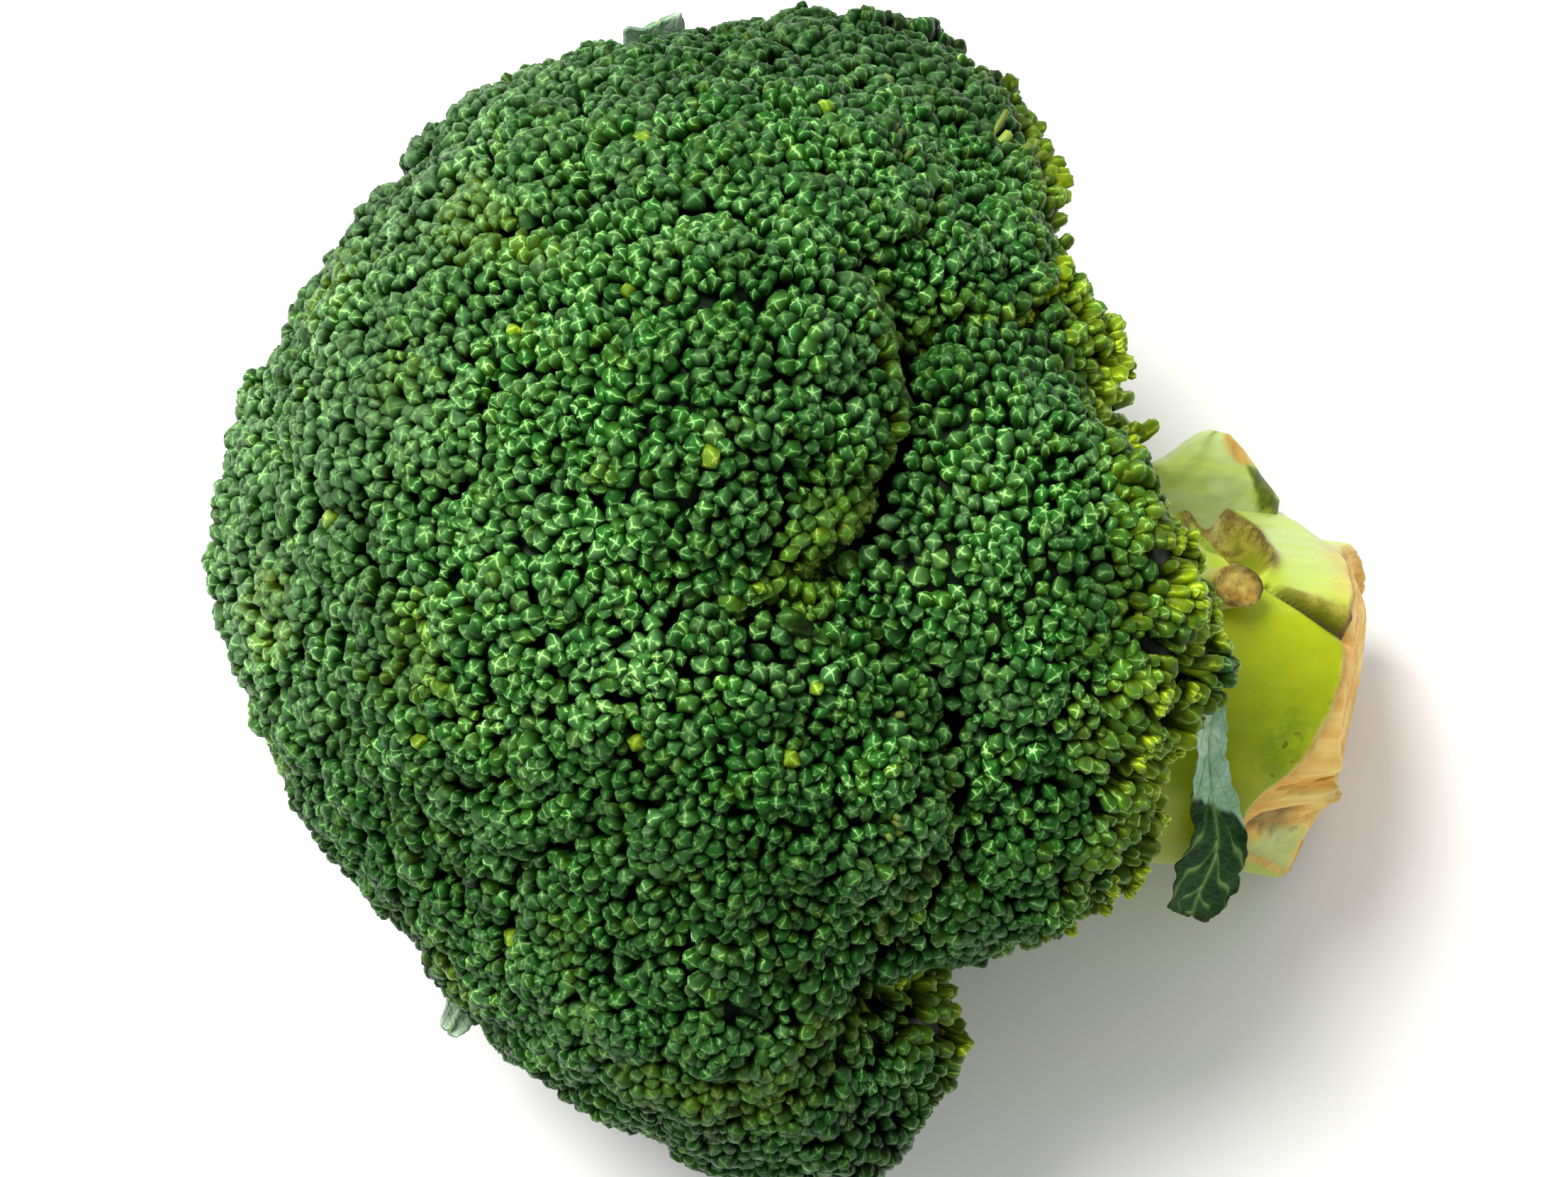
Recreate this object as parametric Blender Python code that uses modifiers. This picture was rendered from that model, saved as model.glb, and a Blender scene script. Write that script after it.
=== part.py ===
"""Broccoli head, cut and lying on its side: main stalk, primary branches, bud
heads (florets), petiole stubs and three small leaves.

The head is described in its growing frame, in millimetres: the fork, where the
branches leave the stalk, is the origin, +Z runs up the stalk to the top of the
dome, and azimuth 0 is the side that ends up on top when the head lies down.
lay_down() turns it onto the table and puts the origin at the middle of the
bottom of its bounding box. Blender units are metres, +Z up.
"""

import math

import bmesh
import bpy
import numpy as np
from mathutils import Matrix, Vector, noise

MM = 0.001
GAP = 0.3  # clearance between neighbouring pieces

# How it lies: stalk axis below the horizontal, and roll about world X.
LAY_TILT = 22.3
LAY_ROLL = -1.2

# Main stalk
STALK_RADIUS = 23.4
STALK_CUT = 49.0  # fork to the middle of the cut face
STALK_CUT_NORMAL = (0.46, -0.25, -0.85)  # the knife went through at a slant
STALK_SIDES = 36
STALK_TOP_RADIUS = 17.0  # the stalk ends in a rounded head inside the crown
STALK_TOP = 15.0  # height of that rounded head above the fork

# Bud heads: name, polar angle from the dome top, azimuth, distance from the
# fork to the head's outermost point, radius of its outer curve.
FLORETS = [
    ("top_left", 41, 78, 94, 27),
    ("top_mid", 59, 71, 83, 28),
    ("top_right", 64, 60, 79, 25),
    ("upper_left", 30, 62, 96, 25),
    ("upper_mid", 47, 44, 88, 26),
    ("upper_right", 63, 44, 71, 21),
    ("fringe", 78, 42, 52, 17),
    ("left_upper", 22, 92, 97, 28),
    ("left", 11, 156, 98, 30),
    ("mid_left", 16, 38, 98, 27),
    ("centre", 35, 13, 89, 28),
    ("right", 71, -10, 60, 28),
    ("left_low", 16, -133, 90, 27),
    ("centre_low", 20, -36, 89, 28),
    ("low_mid", 42, -52, 78, 27),
    ("low_right", 71, -48, 53, 26),
    ("bottom_left", 39, -111, 83, 27),
    ("bottom_mid", 46, -90, 80, 25),
    ("bottom", 63, -105, 75, 26),
    ("far_top", 60, 100, 80, 26),
    ("far_mid", 46, 143, 87, 28),
    ("under_mid", 36, 176, 80, 29),
    ("near_mid", 50, -146, 77, 28),
    ("rim_far", 76, 146, 54, 22),
    ("rim_near", 76, -142, 52, 22),
]

# Leaves
LEAF_THICKNESS = 0.5
LEAF_BY_STALK = [(24.5, -14.0, -21.5), (22.6, -18.2, -21.8), (18.6, -22.8, -24.0), (9.5, -27.2, -29.0), (-2.7, -29.2, -32.4), (-13.5, -29.4, -35.6)]
LEAF_BY_STALK_WIDTHS = [1.5, 2.6, 2.6, 3.6, 4.6, 4.4, 3.2]

GREEN_BUDS = (0.035, 0.11, 0.022)
GREEN_STEM = (0.36, 0.47, 0.10)
GREEN_PALE = (0.50, 0.60, 0.24)
GREEN_LEAF = (0.015, 0.075, 0.018)


def direction(polar, azimuth):
    t, a = math.radians(polar), math.radians(azimuth)
    return np.array([math.sin(t) * math.cos(a), math.sin(t) * math.sin(a), math.cos(t)])


def smoothstep(lo, hi, x):
    t = np.clip((x - lo) / (hi - lo), 0.0, 1.0)
    return t * t * (3 - 2 * t)


# ---------------------------------------------------------------- materials
def material(name, colour, roughness):
    mat = bpy.data.materials.new(name)
    mat.use_nodes = True
    shader = mat.node_tree.nodes["Principled BSDF"]
    shader.inputs["Base Color"].default_value = (*colour, 1.0)
    shader.inputs["Roughness"].default_value = roughness
    shader.inputs["Metallic"].default_value = 0.0
    return mat


# ------------------------------------------------------------ object helpers
def new_object(name, mesh, collection, mat=None):
    obj = bpy.data.objects.new(name, mesh)
    collection.objects.link(obj)
    if mat is not None:
        mesh.materials.append(mat)
    return obj


def mesh_from_bmesh(name, bm):
    bmesh.ops.recalc_face_normals(bm, faces=bm.faces[:])
    mesh = bpy.data.meshes.new(name)
    bm.to_mesh(mesh)
    bm.free()
    mesh.shade_smooth()
    return mesh


def loft(name, rings):
    """A closed body through rings of equal length, with its ends filled by fans."""
    bm = bmesh.new()
    levels = [[bm.verts.new(Vector(p) * MM) for p in ring] for ring in rings]
    n = len(levels[0])
    for low, high in zip(levels, levels[1:]):
        for i in range(n):
            j = (i + 1) % n
            bm.faces.new((low[i], low[j], high[j], high[i]))
    for level in (levels[0], levels[-1]):
        middle = bm.verts.new(sum((v.co for v in level), Vector()) / n)
        for i in range(n):
            bm.faces.new((level[i], level[(i + 1) % n], middle))
    return mesh_from_bmesh(name, bm)


def tube(name, points, radii, resolution=2):
    """A tapered branch: a bevelled POLY curve with filled caps, made a mesh and welded."""
    curve = bpy.data.curves.new(name + "_curve", "CURVE")
    curve.dimensions = "3D"
    curve.bevel_depth = 1.0 * MM
    curve.bevel_resolution = resolution
    curve.use_fill_caps = True
    spline = curve.splines.new("POLY")
    spline.points.add(len(points) - 1)
    for point, xyz, radius in zip(spline.points, points, radii):
        point.co = (*(np.asarray(xyz) * MM), 1.0)
        point.radius = radius
    holder = bpy.data.objects.new(name + "_curve", curve)
    bpy.context.scene.collection.objects.link(holder)
    bpy.context.view_layer.update()
    graph = bpy.context.evaluated_depsgraph_get()
    mesh = bpy.data.meshes.new_from_object(holder.evaluated_get(graph))
    mesh.name = name
    bpy.data.objects.remove(holder)
    bm = bmesh.new()
    bm.from_mesh(mesh)
    bmesh.ops.remove_doubles(bm, verts=bm.verts[:], dist=0.00001)
    bmesh.ops.recalc_face_normals(bm, faces=bm.faces[:])
    bm.to_mesh(mesh)
    bm.free()
    mesh.shade_smooth()
    return mesh


# -------------------------------------------------------------------- stalk
def stalk_radius(azimuth, depth):
    """Outer radius of the main stalk at a depth below the fork, ribbed where
    the branches and leaf bases run down into it."""
    a = np.radians(azimuth)
    round_top = np.sqrt(np.clip(1 - (np.minimum(depth, 0) / STALK_TOP) ** 2, 0.0, 1.0))
    base = STALK_TOP_RADIUS + (STALK_RADIUS - STALK_TOP_RADIUS) * smoothstep(-8, 36, depth)
    ribs = (
        1.0
        - 0.11 * np.cos(a - math.radians(66))
        + 0.035 * np.cos(3 * a + 0.9)
        + 0.022 * np.cos(5 * a - 0.7 + 0.01 * depth)
    )
    return base * ribs * round_top


def cut_depth(x, y):
    """Depth of the slanted cut below the fork, over the point x, y."""
    nx, ny, nz = STALK_CUT_NORMAL
    return STALK_CUT + (nx * x + ny * y) / nz


def stalk_mesh(name, grow=0.0):
    rings = []
    angles = np.arange(STALK_SIDES) * 360.0 / STALK_SIDES
    for depth in (-0.96 * STALK_TOP, -0.82 * STALK_TOP, -0.58 * STALK_TOP, -4, 0, 6, 12, 18, 24, 30):
        radius = stalk_radius(angles, depth) + grow
        rings.append(
            np.stack(
                [
                    radius * np.cos(np.radians(angles)),
                    radius * np.sin(np.radians(angles)),
                    np.full(len(angles), -depth + (grow if depth < -0.9 * STALK_TOP else 0)),
                ],
                1,
            )
        )
    for share in (0.5, 0.94, 1.0):
        radius = stalk_radius(angles, 40.0) + grow - (1.2 if share == 1.0 else 0.0)
        x, y = radius * np.cos(np.radians(angles)), radius * np.sin(np.radians(angles))
        end = cut_depth(x, y)
        depth = 30 + (end - 30) * share
        rings.append(np.stack([x, y, -depth], 1))
    return loft(name, rings)


# ------------------------------------------------------------------ florets
def clear_of_stalk(point, lean):
    """Distance from a point, back along lean, to the surface of the stalk."""
    for step in range(2, 160):
        x, y, z = point - lean * step * 0.5
        if z < STALK_TOP and math.hypot(x, y) < stalk_radius(math.degrees(math.atan2(y, x)), -z):
            return step * 0.5
    return 80.0


def floret_table():
    heads = []
    for name, polar, azimuth, extent, radius in FLORETS:
        axis = direction(polar, azimuth)
        heads.append({"name": name, "polar": polar, "axis": axis, "centre": axis * (extent - radius), "radius": radius})
    for head in heads:
        # A rim branch leaves the stalk lower down than one at the dome's top.
        drop = 0.55 * max(0.0, head["polar"] - 50)
        root = np.array([0.0, 0.0, -drop])
        towards = head["centre"] - root
        head["lean"] = towards / np.linalg.norm(towards)
        head["root"] = root
        head["under"] = min(0.52 * head["radius"], clear_of_stalk(head["centre"], head["lean"]) - 6.0)
        head["foot"] = head["centre"] - head["lean"] * head["under"]
        head["branch_radius"] = 0.11 * head["radius"] + 1.5
    return heads


def branch_points(head, count=6):
    """Centre line of a branch, bowed a little outwards, from inside the stalk to the head's foot."""
    start = head["root"] + head["lean"] * 6.0
    end = head["foot"] - head["lean"] * GAP
    out = []
    for i in range(count):
        s = i / (count - 1)
        out.append(start + (end - start) * s)
    return np.array(out)


def nearest_on(points, p):
    best, found = 1e9, None
    for a, b in zip(points, points[1:]):
        t = np.clip(np.dot(p - a, b - a) / np.dot(b - a, b - a), 0, 1)
        q = a + (b - a) * t
        d = np.linalg.norm(p - q)
        if d < best:
            best, found = d, q
    return found, best


def branch_radii(head, points, lines):
    """A branch keeps its thickness, but gives room to its neighbours where they crowd at the stalk."""
    radii = []
    for i, p in enumerate(points):
        room = min(nearest_on(line, p)[1] for name, line in lines.items() if name != head["name"])
        thick = head["branch_radius"] * (1.12 - 0.25 * i / (len(points) - 1))
        radii.append(max(0.8, min(thick, 0.5 * room - 0.5 * GAP)))
    return radii


def walls(head, heads):
    """Planes (normal, distance from the head's centre) that keep a head out of its neighbours."""
    planes = []
    c, r = head["centre"], head["radius"]
    for other in heads:
        if other is head:
            continue
        between = other["centre"] - c
        d = np.linalg.norm(between)
        if d < r + other["radius"] + 6:
            share = np.clip((d * d + r * r - other["radius"] ** 2) / (2 * d), 0.34 * d, 0.66 * d)
            planes.append((between / d, share - GAP / 2))
        q, far = nearest_on(branch_points(other), c)
        if far < r + other["branch_radius"]:
            planes.append(((q - c) / far, far - other["branch_radius"] - GAP))
    q, far = nearest_on([np.array([0, 0, -40.0]), np.array([0, 0, 4.0])], c)
    thick = float(np.max(stalk_radius(np.arange(0, 360, 10), -q[2])))
    if far < r + thick:
        planes.append(((q - c) / far, far - thick - 1.0))
    return planes


def head_radius(head, planes, d):
    """How far a head reaches from its centre in the direction d."""
    c = float(np.dot(d, head["lean"]))
    under = smoothstep(0.10, -0.85, c)
    p = Vector(head["centre"] * 0.06 + d * 1.9)
    lumps = 1.0 + 0.06 * noise.noise(p)
    reach = head["radius"] * lumps * (1.0 - (1.0 - head["under"] / head["radius"]) * under)
    for normal, distance in planes:
        facing = float(np.dot(d, normal))
        if facing > 1e-6:
            reach = min(reach, distance / facing)
    return max(reach, 2.0)


def floret_mesh(head, heads):
    planes = walls(head, heads)
    bm = bmesh.new()
    bmesh.ops.create_icosphere(bm, subdivisions=3, radius=1.0)
    for vert in bm.verts:
        d = np.array(vert.co.normalized())
        vert.co = Vector((head["centre"] + d * head_radius(head, planes, d)) * MM)
    return mesh_from_bmesh("floret_" + head["name"], bm)


def inside_head(shape, p):
    head, planes = shape
    away = p - head["centre"]
    far = np.linalg.norm(away)
    if far > head["radius"] * 1.07:
        return False
    return far < head_radius(head, planes, away / max(far, 1e-6))


def crown_reach(shapes, d):
    """Distance from the fork to the outside of the crown in the direction d."""
    reach = 110.0
    while reach > 20 and not any(inside_head(shape, d * reach) for shape in shapes):
        reach -= 0.5
    return reach


# ------------------------------------------------------------ stubs and leaves
def oval(centre, along, across, a, b, sides=14, slant=0.0):
    """Ring of points about a centre, half-widths a along and b across."""
    ring = []
    outward = np.cross(along, across)
    for i in range(sides):
        t = 2 * math.pi * i / sides
        ring.append(centre + along * a * math.cos(t) + across * b * math.sin(t) + outward * slant * math.cos(t))
    return ring


def radial(azimuth):
    return direction(90, azimuth)


def petiole_stub_mesh(name):
    """Base of a leaf stalk that was broken off, a flattened wedge on the stalk's upper edge."""
    out, side, down = radial(64), radial(154), np.array([0, 0, -1.0])
    rings = []
    for reach, depth, a, b in ((15, 27.5, 11.5, 6.0), (21, 27.5, 10.0, 5.4), (25, 28.0, 7.4, 4.6), (28.5, 28.6, 5.0, 3.6), (30.6, 28.4, 3.2, 2.6)):
        rings.append(oval(out * reach + down * depth, down, side, a, b, slant=-0.12 * a))
    return loft(name, rings)


def shoot_stub_mesh(name):
    """Cut side shoot, a short oval peg."""
    out = radial(2) * 0.93 + np.array([0, 0, -1.0]) * 0.30 + radial(-88) * 0.20
    out = out / np.linalg.norm(out)
    along = np.array([0, 0, -1.0]) - out * np.dot(np.array([0, 0, -1.0]), out)
    along /= np.linalg.norm(along)
    across = np.cross(out, along)
    base = radial(4) * 14 + np.array([0, 0, -18.5])
    rings = [oval(base + out * h, along, across, a, b, 12) for h, a, b in ((0, 4.2, 3.6), (8, 3.8, 3.2), (12.2, 3.2, 2.7), (14.4, 3.3, 2.7))]
    return loft(name, rings)


def smooth_path(points, count):
    """Catmull-Rom curve through the points."""
    points = [np.asarray(p, float) for p in points]
    points = [2 * points[0] - points[1]] + points + [2 * points[-1] - points[-2]]
    out = []
    spans = len(points) - 3
    for i in range(count):
        u = i / (count - 1) * spans
        k = min(int(u), spans - 1)
        t = u - k
        a, b, c, d = points[k : k + 4]
        out.append(0.5 * (2 * b + (c - a) * t + (2 * a - 5 * b + 4 * c - d) * t * t + (3 * b - a - 3 * c + d) * t**3))
    return out


def leaf_mesh(name, spine, widths, faces_to, cup=0.18, rows=10, columns=6, shapes=()):
    """An open blade along a spine; Solidify gives it its thickness."""
    path = smooth_path(spine, rows + 1)
    bm = bmesh.new()
    bmesh.ops.create_grid(bm, x_segments=columns, y_segments=rows, size=0.5)
    for vert in bm.verts:
        across, along = vert.co.x * 2, vert.co.y + 0.5
        u = along * rows
        k = min(int(round(u)), rows)
        here = path[k]
        forward = path[min(k + 1, rows)] - path[max(k - 1, 0)]
        forward /= np.linalg.norm(forward)
        facing = np.asarray(faces_to(along), float)
        side = np.cross(facing, forward)
        side /= np.linalg.norm(side)
        lift = np.cross(forward, side)
        half = float(np.interp(along, np.linspace(0, 1, len(widths)), widths))
        half *= 1.0 + 0.07 * math.sin(23 * along + 2 * across)
        p = here + side * across * half + lift * half * (cup * across * across + 0.06 * math.sin(17 * along) * across)
        if shapes:
            far = np.linalg.norm(p)
            p = p / far * max(far, crown_reach(shapes, p / far) + 1.0)
        vert.co = Vector(p) * MM
    return mesh_from_bmesh(name, bm)


def leaf_object(name, mesh, collection, mat):
    obj = new_object(name, mesh, collection, mat)
    thick = obj.modifiers.new("thickness", "SOLIDIFY")
    thick.thickness = LEAF_THICKNESS * MM
    thick.offset = 0.0
    return obj


def blend_facing(a, b):
    a, b = np.asarray(a, float), np.asarray(b, float)
    return lambda along: a * (1 - along) + b * along


# ------------------------------------------------------------------- build
def clear_scene():
    for obj in list(bpy.data.objects):
        bpy.data.objects.remove(obj)


def build():
    clear_scene()
    parts = bpy.data.collections.new("broccoli_head")
    cutters = bpy.data.collections.new("cutters")
    bpy.context.scene.collection.children.link(parts)
    bpy.context.scene.collection.children.link(cutters)

    buds = material("bud_green", GREEN_BUDS, 0.6)
    stem = material("stem_green", GREEN_STEM, 0.45)
    pale = material("pale_stem", GREEN_PALE, 0.45)
    leaf = material("leaf_green", GREEN_LEAF, 0.5)

    heads = floret_table()
    made = [new_object("main_stalk", stalk_mesh("main_stalk"), parts, stem)]

    shell = new_object("stalk_clearance", stalk_mesh("stalk_clearance", GAP), cutters)
    shell.hide_render = True
    shell.display_type = "WIRE"

    lines = {head["name"]: branch_points(head) for head in heads}
    for head in heads:
        points = lines[head["name"]]
        radii = branch_radii(head, points, lines)
        obj = new_object("branch_" + head["name"], tube("branch_" + head["name"], points, radii), parts, pale)
        cut = obj.modifiers.new("seat_on_stalk", "BOOLEAN")
        cut.operation = "DIFFERENCE"
        cut.solver = "EXACT"
        cut.object = shell
        made.append(obj)
        made.append(new_object("floret_" + head["name"], floret_mesh(head, heads), parts, buds))

    for name, mesh in (("petiole_stub", petiole_stub_mesh("petiole_stub")), ("shoot_stub", shoot_stub_mesh("shoot_stub"))):
        obj = new_object(name, mesh, parts, stem)
        cut = obj.modifiers.new("seat_on_stalk", "BOOLEAN")
        cut.operation = "DIFFERENCE"
        cut.solver = "EXACT"
        cut.object = shell
        made.append(obj)

    mesh = leaf_mesh("leaf_by_stalk", LEAF_BY_STALK, LEAF_BY_STALK_WIDTHS, blend_facing((0.95, -0.3, -0.1), (0.1, -0.95, 0.3)))
    made.append(leaf_object("leaf_by_stalk", mesh, parts, leaf))
    shapes = [(head, walls(head, heads)) for head in heads]
    for name, route, widths in (
        ("leaf_far_side", ((60, 108, 1.2), (59, 99, 1.0), (58, 90, 1.2), (57, 81, 3.0)), (2.0, 4.6, 5.0, 3.4)),
        ("leaf_lower_edge", ((52, -158, 1.2), (50, -148, 1.0), (48, -138, 1.2), (46, -127, 4.0)), (2.4, 5.0, 4.6, 1.2)),
    ):
        spine = [direction(p, a) * (crown_reach(shapes, direction(p, a)) + lift) for p, a, lift in route]
        first, last = (direction(*route[0][:2]), direction(*route[-1][:2]))
        made.append(leaf_object(name, leaf_mesh(name, spine, widths, blend_facing(first, last), cup=-0.1, rows=8, columns=4, shapes=shapes), parts, leaf))

    lay_down(made, cutters)


def lay_down(made, cutters):
    head = bpy.data.objects.new("head", None)
    bpy.context.scene.collection.objects.link(head)
    tilt = math.radians(LAY_TILT)
    up = Vector((math.sin(tilt), 0, math.cos(tilt)))
    dome = Vector((-math.cos(tilt), 0, math.sin(tilt)))
    turn = Matrix((up, (0, 1, 0), dome)).transposed().to_4x4()
    head.matrix_world = Matrix.Rotation(math.radians(LAY_ROLL), 4, "X") @ turn
    for obj in made + list(cutters.objects):
        obj.parent = head
    bpy.context.view_layer.update()
    graph = bpy.context.evaluated_depsgraph_get()
    low, high = np.full(3, 1e9), np.full(3, -1e9)
    for obj in made:
        seen = obj.evaluated_get(graph)
        mesh = seen.to_mesh()
        co = np.empty(len(mesh.vertices) * 3, np.float32)
        mesh.vertices.foreach_get("co", co)
        world = np.array(seen.matrix_world)
        co = co.reshape(-1, 3) @ world[:3, :3].T + world[:3, 3]
        low, high = np.minimum(low, co.min(0)), np.maximum(high, co.max(0))
        seen.to_mesh_clear()
    shift = Vector((-(low[0] + high[0]) / 2, -(low[1] + high[1]) / 2, -low[2]))
    head.matrix_world = Matrix.Translation(shift) @ head.matrix_world
    bpy.context.view_layer.update()


build()
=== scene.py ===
import math

import bmesh
import bpy
import numpy as np
from mathutils import Matrix, Vector, kdtree, noise


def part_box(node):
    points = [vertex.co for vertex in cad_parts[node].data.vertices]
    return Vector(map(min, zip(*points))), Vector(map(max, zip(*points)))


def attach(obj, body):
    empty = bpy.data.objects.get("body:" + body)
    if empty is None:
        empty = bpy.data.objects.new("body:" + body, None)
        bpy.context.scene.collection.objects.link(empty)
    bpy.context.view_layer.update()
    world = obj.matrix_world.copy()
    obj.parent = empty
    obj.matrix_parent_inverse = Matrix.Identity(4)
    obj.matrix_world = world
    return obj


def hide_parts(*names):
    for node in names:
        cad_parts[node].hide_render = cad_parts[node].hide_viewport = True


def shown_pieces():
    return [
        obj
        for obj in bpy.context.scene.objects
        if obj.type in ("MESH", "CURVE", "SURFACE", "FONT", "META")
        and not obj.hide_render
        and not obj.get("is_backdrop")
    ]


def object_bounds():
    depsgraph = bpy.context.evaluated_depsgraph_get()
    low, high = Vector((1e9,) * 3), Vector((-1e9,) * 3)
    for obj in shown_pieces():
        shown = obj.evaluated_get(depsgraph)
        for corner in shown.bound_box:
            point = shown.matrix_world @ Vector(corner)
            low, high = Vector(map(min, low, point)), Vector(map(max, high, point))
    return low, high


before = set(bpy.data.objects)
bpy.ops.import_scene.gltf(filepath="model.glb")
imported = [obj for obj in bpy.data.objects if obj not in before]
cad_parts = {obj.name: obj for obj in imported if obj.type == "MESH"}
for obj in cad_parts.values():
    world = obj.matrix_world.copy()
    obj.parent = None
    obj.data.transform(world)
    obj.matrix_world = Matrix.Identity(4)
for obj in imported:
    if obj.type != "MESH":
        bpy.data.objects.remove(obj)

cad_low, cad_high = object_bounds()

# ---------------------------------------------------------------- the frame
# The head is described in its growing frame, in millimetres: fork = origin,
# +Z up to the top of the dome, azimuth 0 on top when it lies down.
LAY_TILT, LAY_ROLL, GAP = 22.3, -1.2, 0.3
STALK_RADIUS, STALK_CUT, STALK_TOP_RADIUS, STALK_TOP = 23.4, 49.0, 17.0, 15.0
STALK_CUT_NORMAL = (0.46, -0.25, -0.85)
FLORETS = [
    ("top_left", 41, 78, 94, 27), ("top_mid", 59, 71, 83, 28), ("top_right", 64, 60, 79, 25),
    ("upper_left", 30, 62, 96, 25), ("upper_mid", 47, 44, 88, 26), ("upper_right", 63, 44, 71, 21),
    ("fringe", 78, 42, 52, 17), ("left_upper", 22, 92, 97, 28), ("left", 11, 156, 98, 30),
    ("mid_left", 16, 38, 98, 27), ("centre", 35, 13, 89, 28), ("right", 71, -10, 60, 28),
    ("left_low", 16, -133, 90, 27), ("centre_low", 20, -36, 89, 28), ("low_mid", 42, -52, 78, 27),
    ("low_right", 71, -48, 53, 26), ("bottom_left", 39, -111, 83, 27), ("bottom_mid", 46, -90, 80, 25),
    ("bottom", 63, -105, 75, 26), ("far_top", 60, 100, 80, 26), ("far_mid", 46, 143, 87, 28),
    ("under_mid", 36, 176, 80, 29), ("near_mid", 50, -146, 77, 28), ("rim_far", 76, 146, 54, 22),
    ("rim_near", 76, -142, 52, 22),
]
LEAF_BY_STALK = [(24.5, -14.0, -20.4), (22.4, -18.2, -20.3), (18.1, -22.8, -22.6), (8.9, -27.2, -27.9), (-3.0, -29.2, -31.4), (-13.2, -29.4, -35.3)]
LEAF_BY_STALK_WIDTHS = [1.3, 2.2, 2.2, 2.7, 3.9, 4.3, 3.9, 2.0]


def direction(polar, azimuth):
    t, a = math.radians(polar), math.radians(azimuth)
    return np.array([math.sin(t) * math.cos(a), math.sin(t) * math.sin(a), math.cos(t)])


def smoothstep(lo, hi, x):
    t = np.clip((x - lo) / (hi - lo), 0.0, 1.0)
    return t * t * (3 - 2 * t)


def unit(v):
    v = np.asarray(v, float)
    return v / np.maximum(np.linalg.norm(v, axis=-1, keepdims=True), 1e-9)


TILT = math.radians(LAY_TILT)
TURN = Matrix(((math.sin(TILT), 0, math.cos(TILT)), (0, 1, 0), (-math.cos(TILT), 0, math.sin(TILT)))).transposed()
TURN = np.array(Matrix.Rotation(math.radians(LAY_ROLL), 3, "X") @ TURN)


def stalk_radius(azimuth, depth):
    a = np.radians(azimuth)
    round_top = np.sqrt(np.clip(1 - (np.minimum(depth, 0) / STALK_TOP) ** 2, 0.0, 1.0))
    base = STALK_TOP_RADIUS + (STALK_RADIUS - STALK_TOP_RADIUS) * smoothstep(-8, 36, depth)
    ribs = 1.0 - 0.11 * np.cos(a - math.radians(66)) + 0.035 * np.cos(3 * a + 0.9) + 0.022 * np.cos(5 * a - 0.7 + 0.01 * depth)
    return base * ribs * round_top


def cut_depth(x, y):
    nx, ny, nz = STALK_CUT_NORMAL
    return STALK_CUT + (nx * x + ny * y) / nz


def clear_of_stalk(point, lean):
    for step in range(2, 160):
        x, y, z = point - lean * step * 0.5
        if z < STALK_TOP and math.hypot(x, y) < stalk_radius(math.degrees(math.atan2(y, x)), -z):
            return step * 0.5
    return 80.0


def floret_table():
    heads = []
    for name, polar, azimuth, extent, radius in FLORETS:
        axis = direction(polar, azimuth)
        heads.append({"name": name, "polar": polar, "axis": axis, "centre": axis * (extent - radius), "radius": radius})
    for head in heads:
        root = np.array([0.0, 0.0, -0.55 * max(0.0, head["polar"] - 50)])
        head["lean"] = unit(head["centre"] - root)
        head["root"] = root
        head["under"] = min(0.52 * head["radius"], clear_of_stalk(head["centre"], head["lean"]) - 6.0)
        head["foot"] = head["centre"] - head["lean"] * head["under"]
        head["branch_radius"] = 0.11 * head["radius"] + 1.5
    return heads


def branch_points(head, count=6):
    start = head["root"] + head["lean"] * 6.0
    end = head["foot"] - head["lean"] * GAP
    return np.array([start + (end - start) * i / (count - 1) for i in range(count)])


def nearest_on(points, p):
    best, found = 1e9, None
    for a, b in zip(points, points[1:]):
        t = np.clip(np.dot(p - a, b - a) / np.dot(b - a, b - a), 0, 1)
        q = a + (b - a) * t
        d = np.linalg.norm(p - q)
        if d < best:
            best, found = d, q
    return found, best


def walls(head, heads):
    planes = []
    c, r = head["centre"], head["radius"]
    for other in heads:
        if other is head:
            continue
        between = other["centre"] - c
        d = np.linalg.norm(between)
        if d < r + other["radius"] + 6:
            share = np.clip((d * d + r * r - other["radius"] ** 2) / (2 * d), 0.34 * d, 0.66 * d)
            planes.append((between / d, share - GAP / 2))
        q, far = nearest_on(branch_points(other), c)
        if far < r + other["branch_radius"]:
            planes.append(((q - c) / far, far - other["branch_radius"] - GAP))
    q, far = nearest_on([np.array([0, 0, -40.0]), np.array([0, 0, 4.0])], c)
    thick = float(np.max(stalk_radius(np.arange(0, 360, 10), -q[2])))
    if far < r + thick:
        planes.append(((q - c) / far, far - thick - 1.0))
    return planes


def reach(head, dirs):
    """(how far the head reaches, how far its round outside would reach) in each direction."""
    c = dirs @ head["lean"]
    under = smoothstep(0.10, -0.85, c)
    off = head["centre"] * 0.06
    lumps = 1.0 + 0.06 * np.array([noise.noise(Vector(off + d * 1.9)) for d in dirs])
    free = head["radius"] * lumps * (1.0 - (1.0 - head["under"] / head["radius"]) * under)
    if head["name"] in SHY:
        for spot, share in SHY[head["name"]]:
            free = free * (1 - share * smoothstep(0.45, 1.0, dirs @ spot))
    held = free.copy()
    for normal, distance in head["planes"]:
        facing = dirs @ normal
        held = np.where(facing > 1e-6, np.minimum(held, distance / np.maximum(facing, 1e-6)), held)
    return np.maximum(held, 2.0), free


heads = floret_table()
for head in heads:
    head["planes"] = walls(head, heads)
AXES = np.array([h["axis"] for h in heads])
EXTENTS = np.array([f[3] for f in FLORETS], float)
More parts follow.
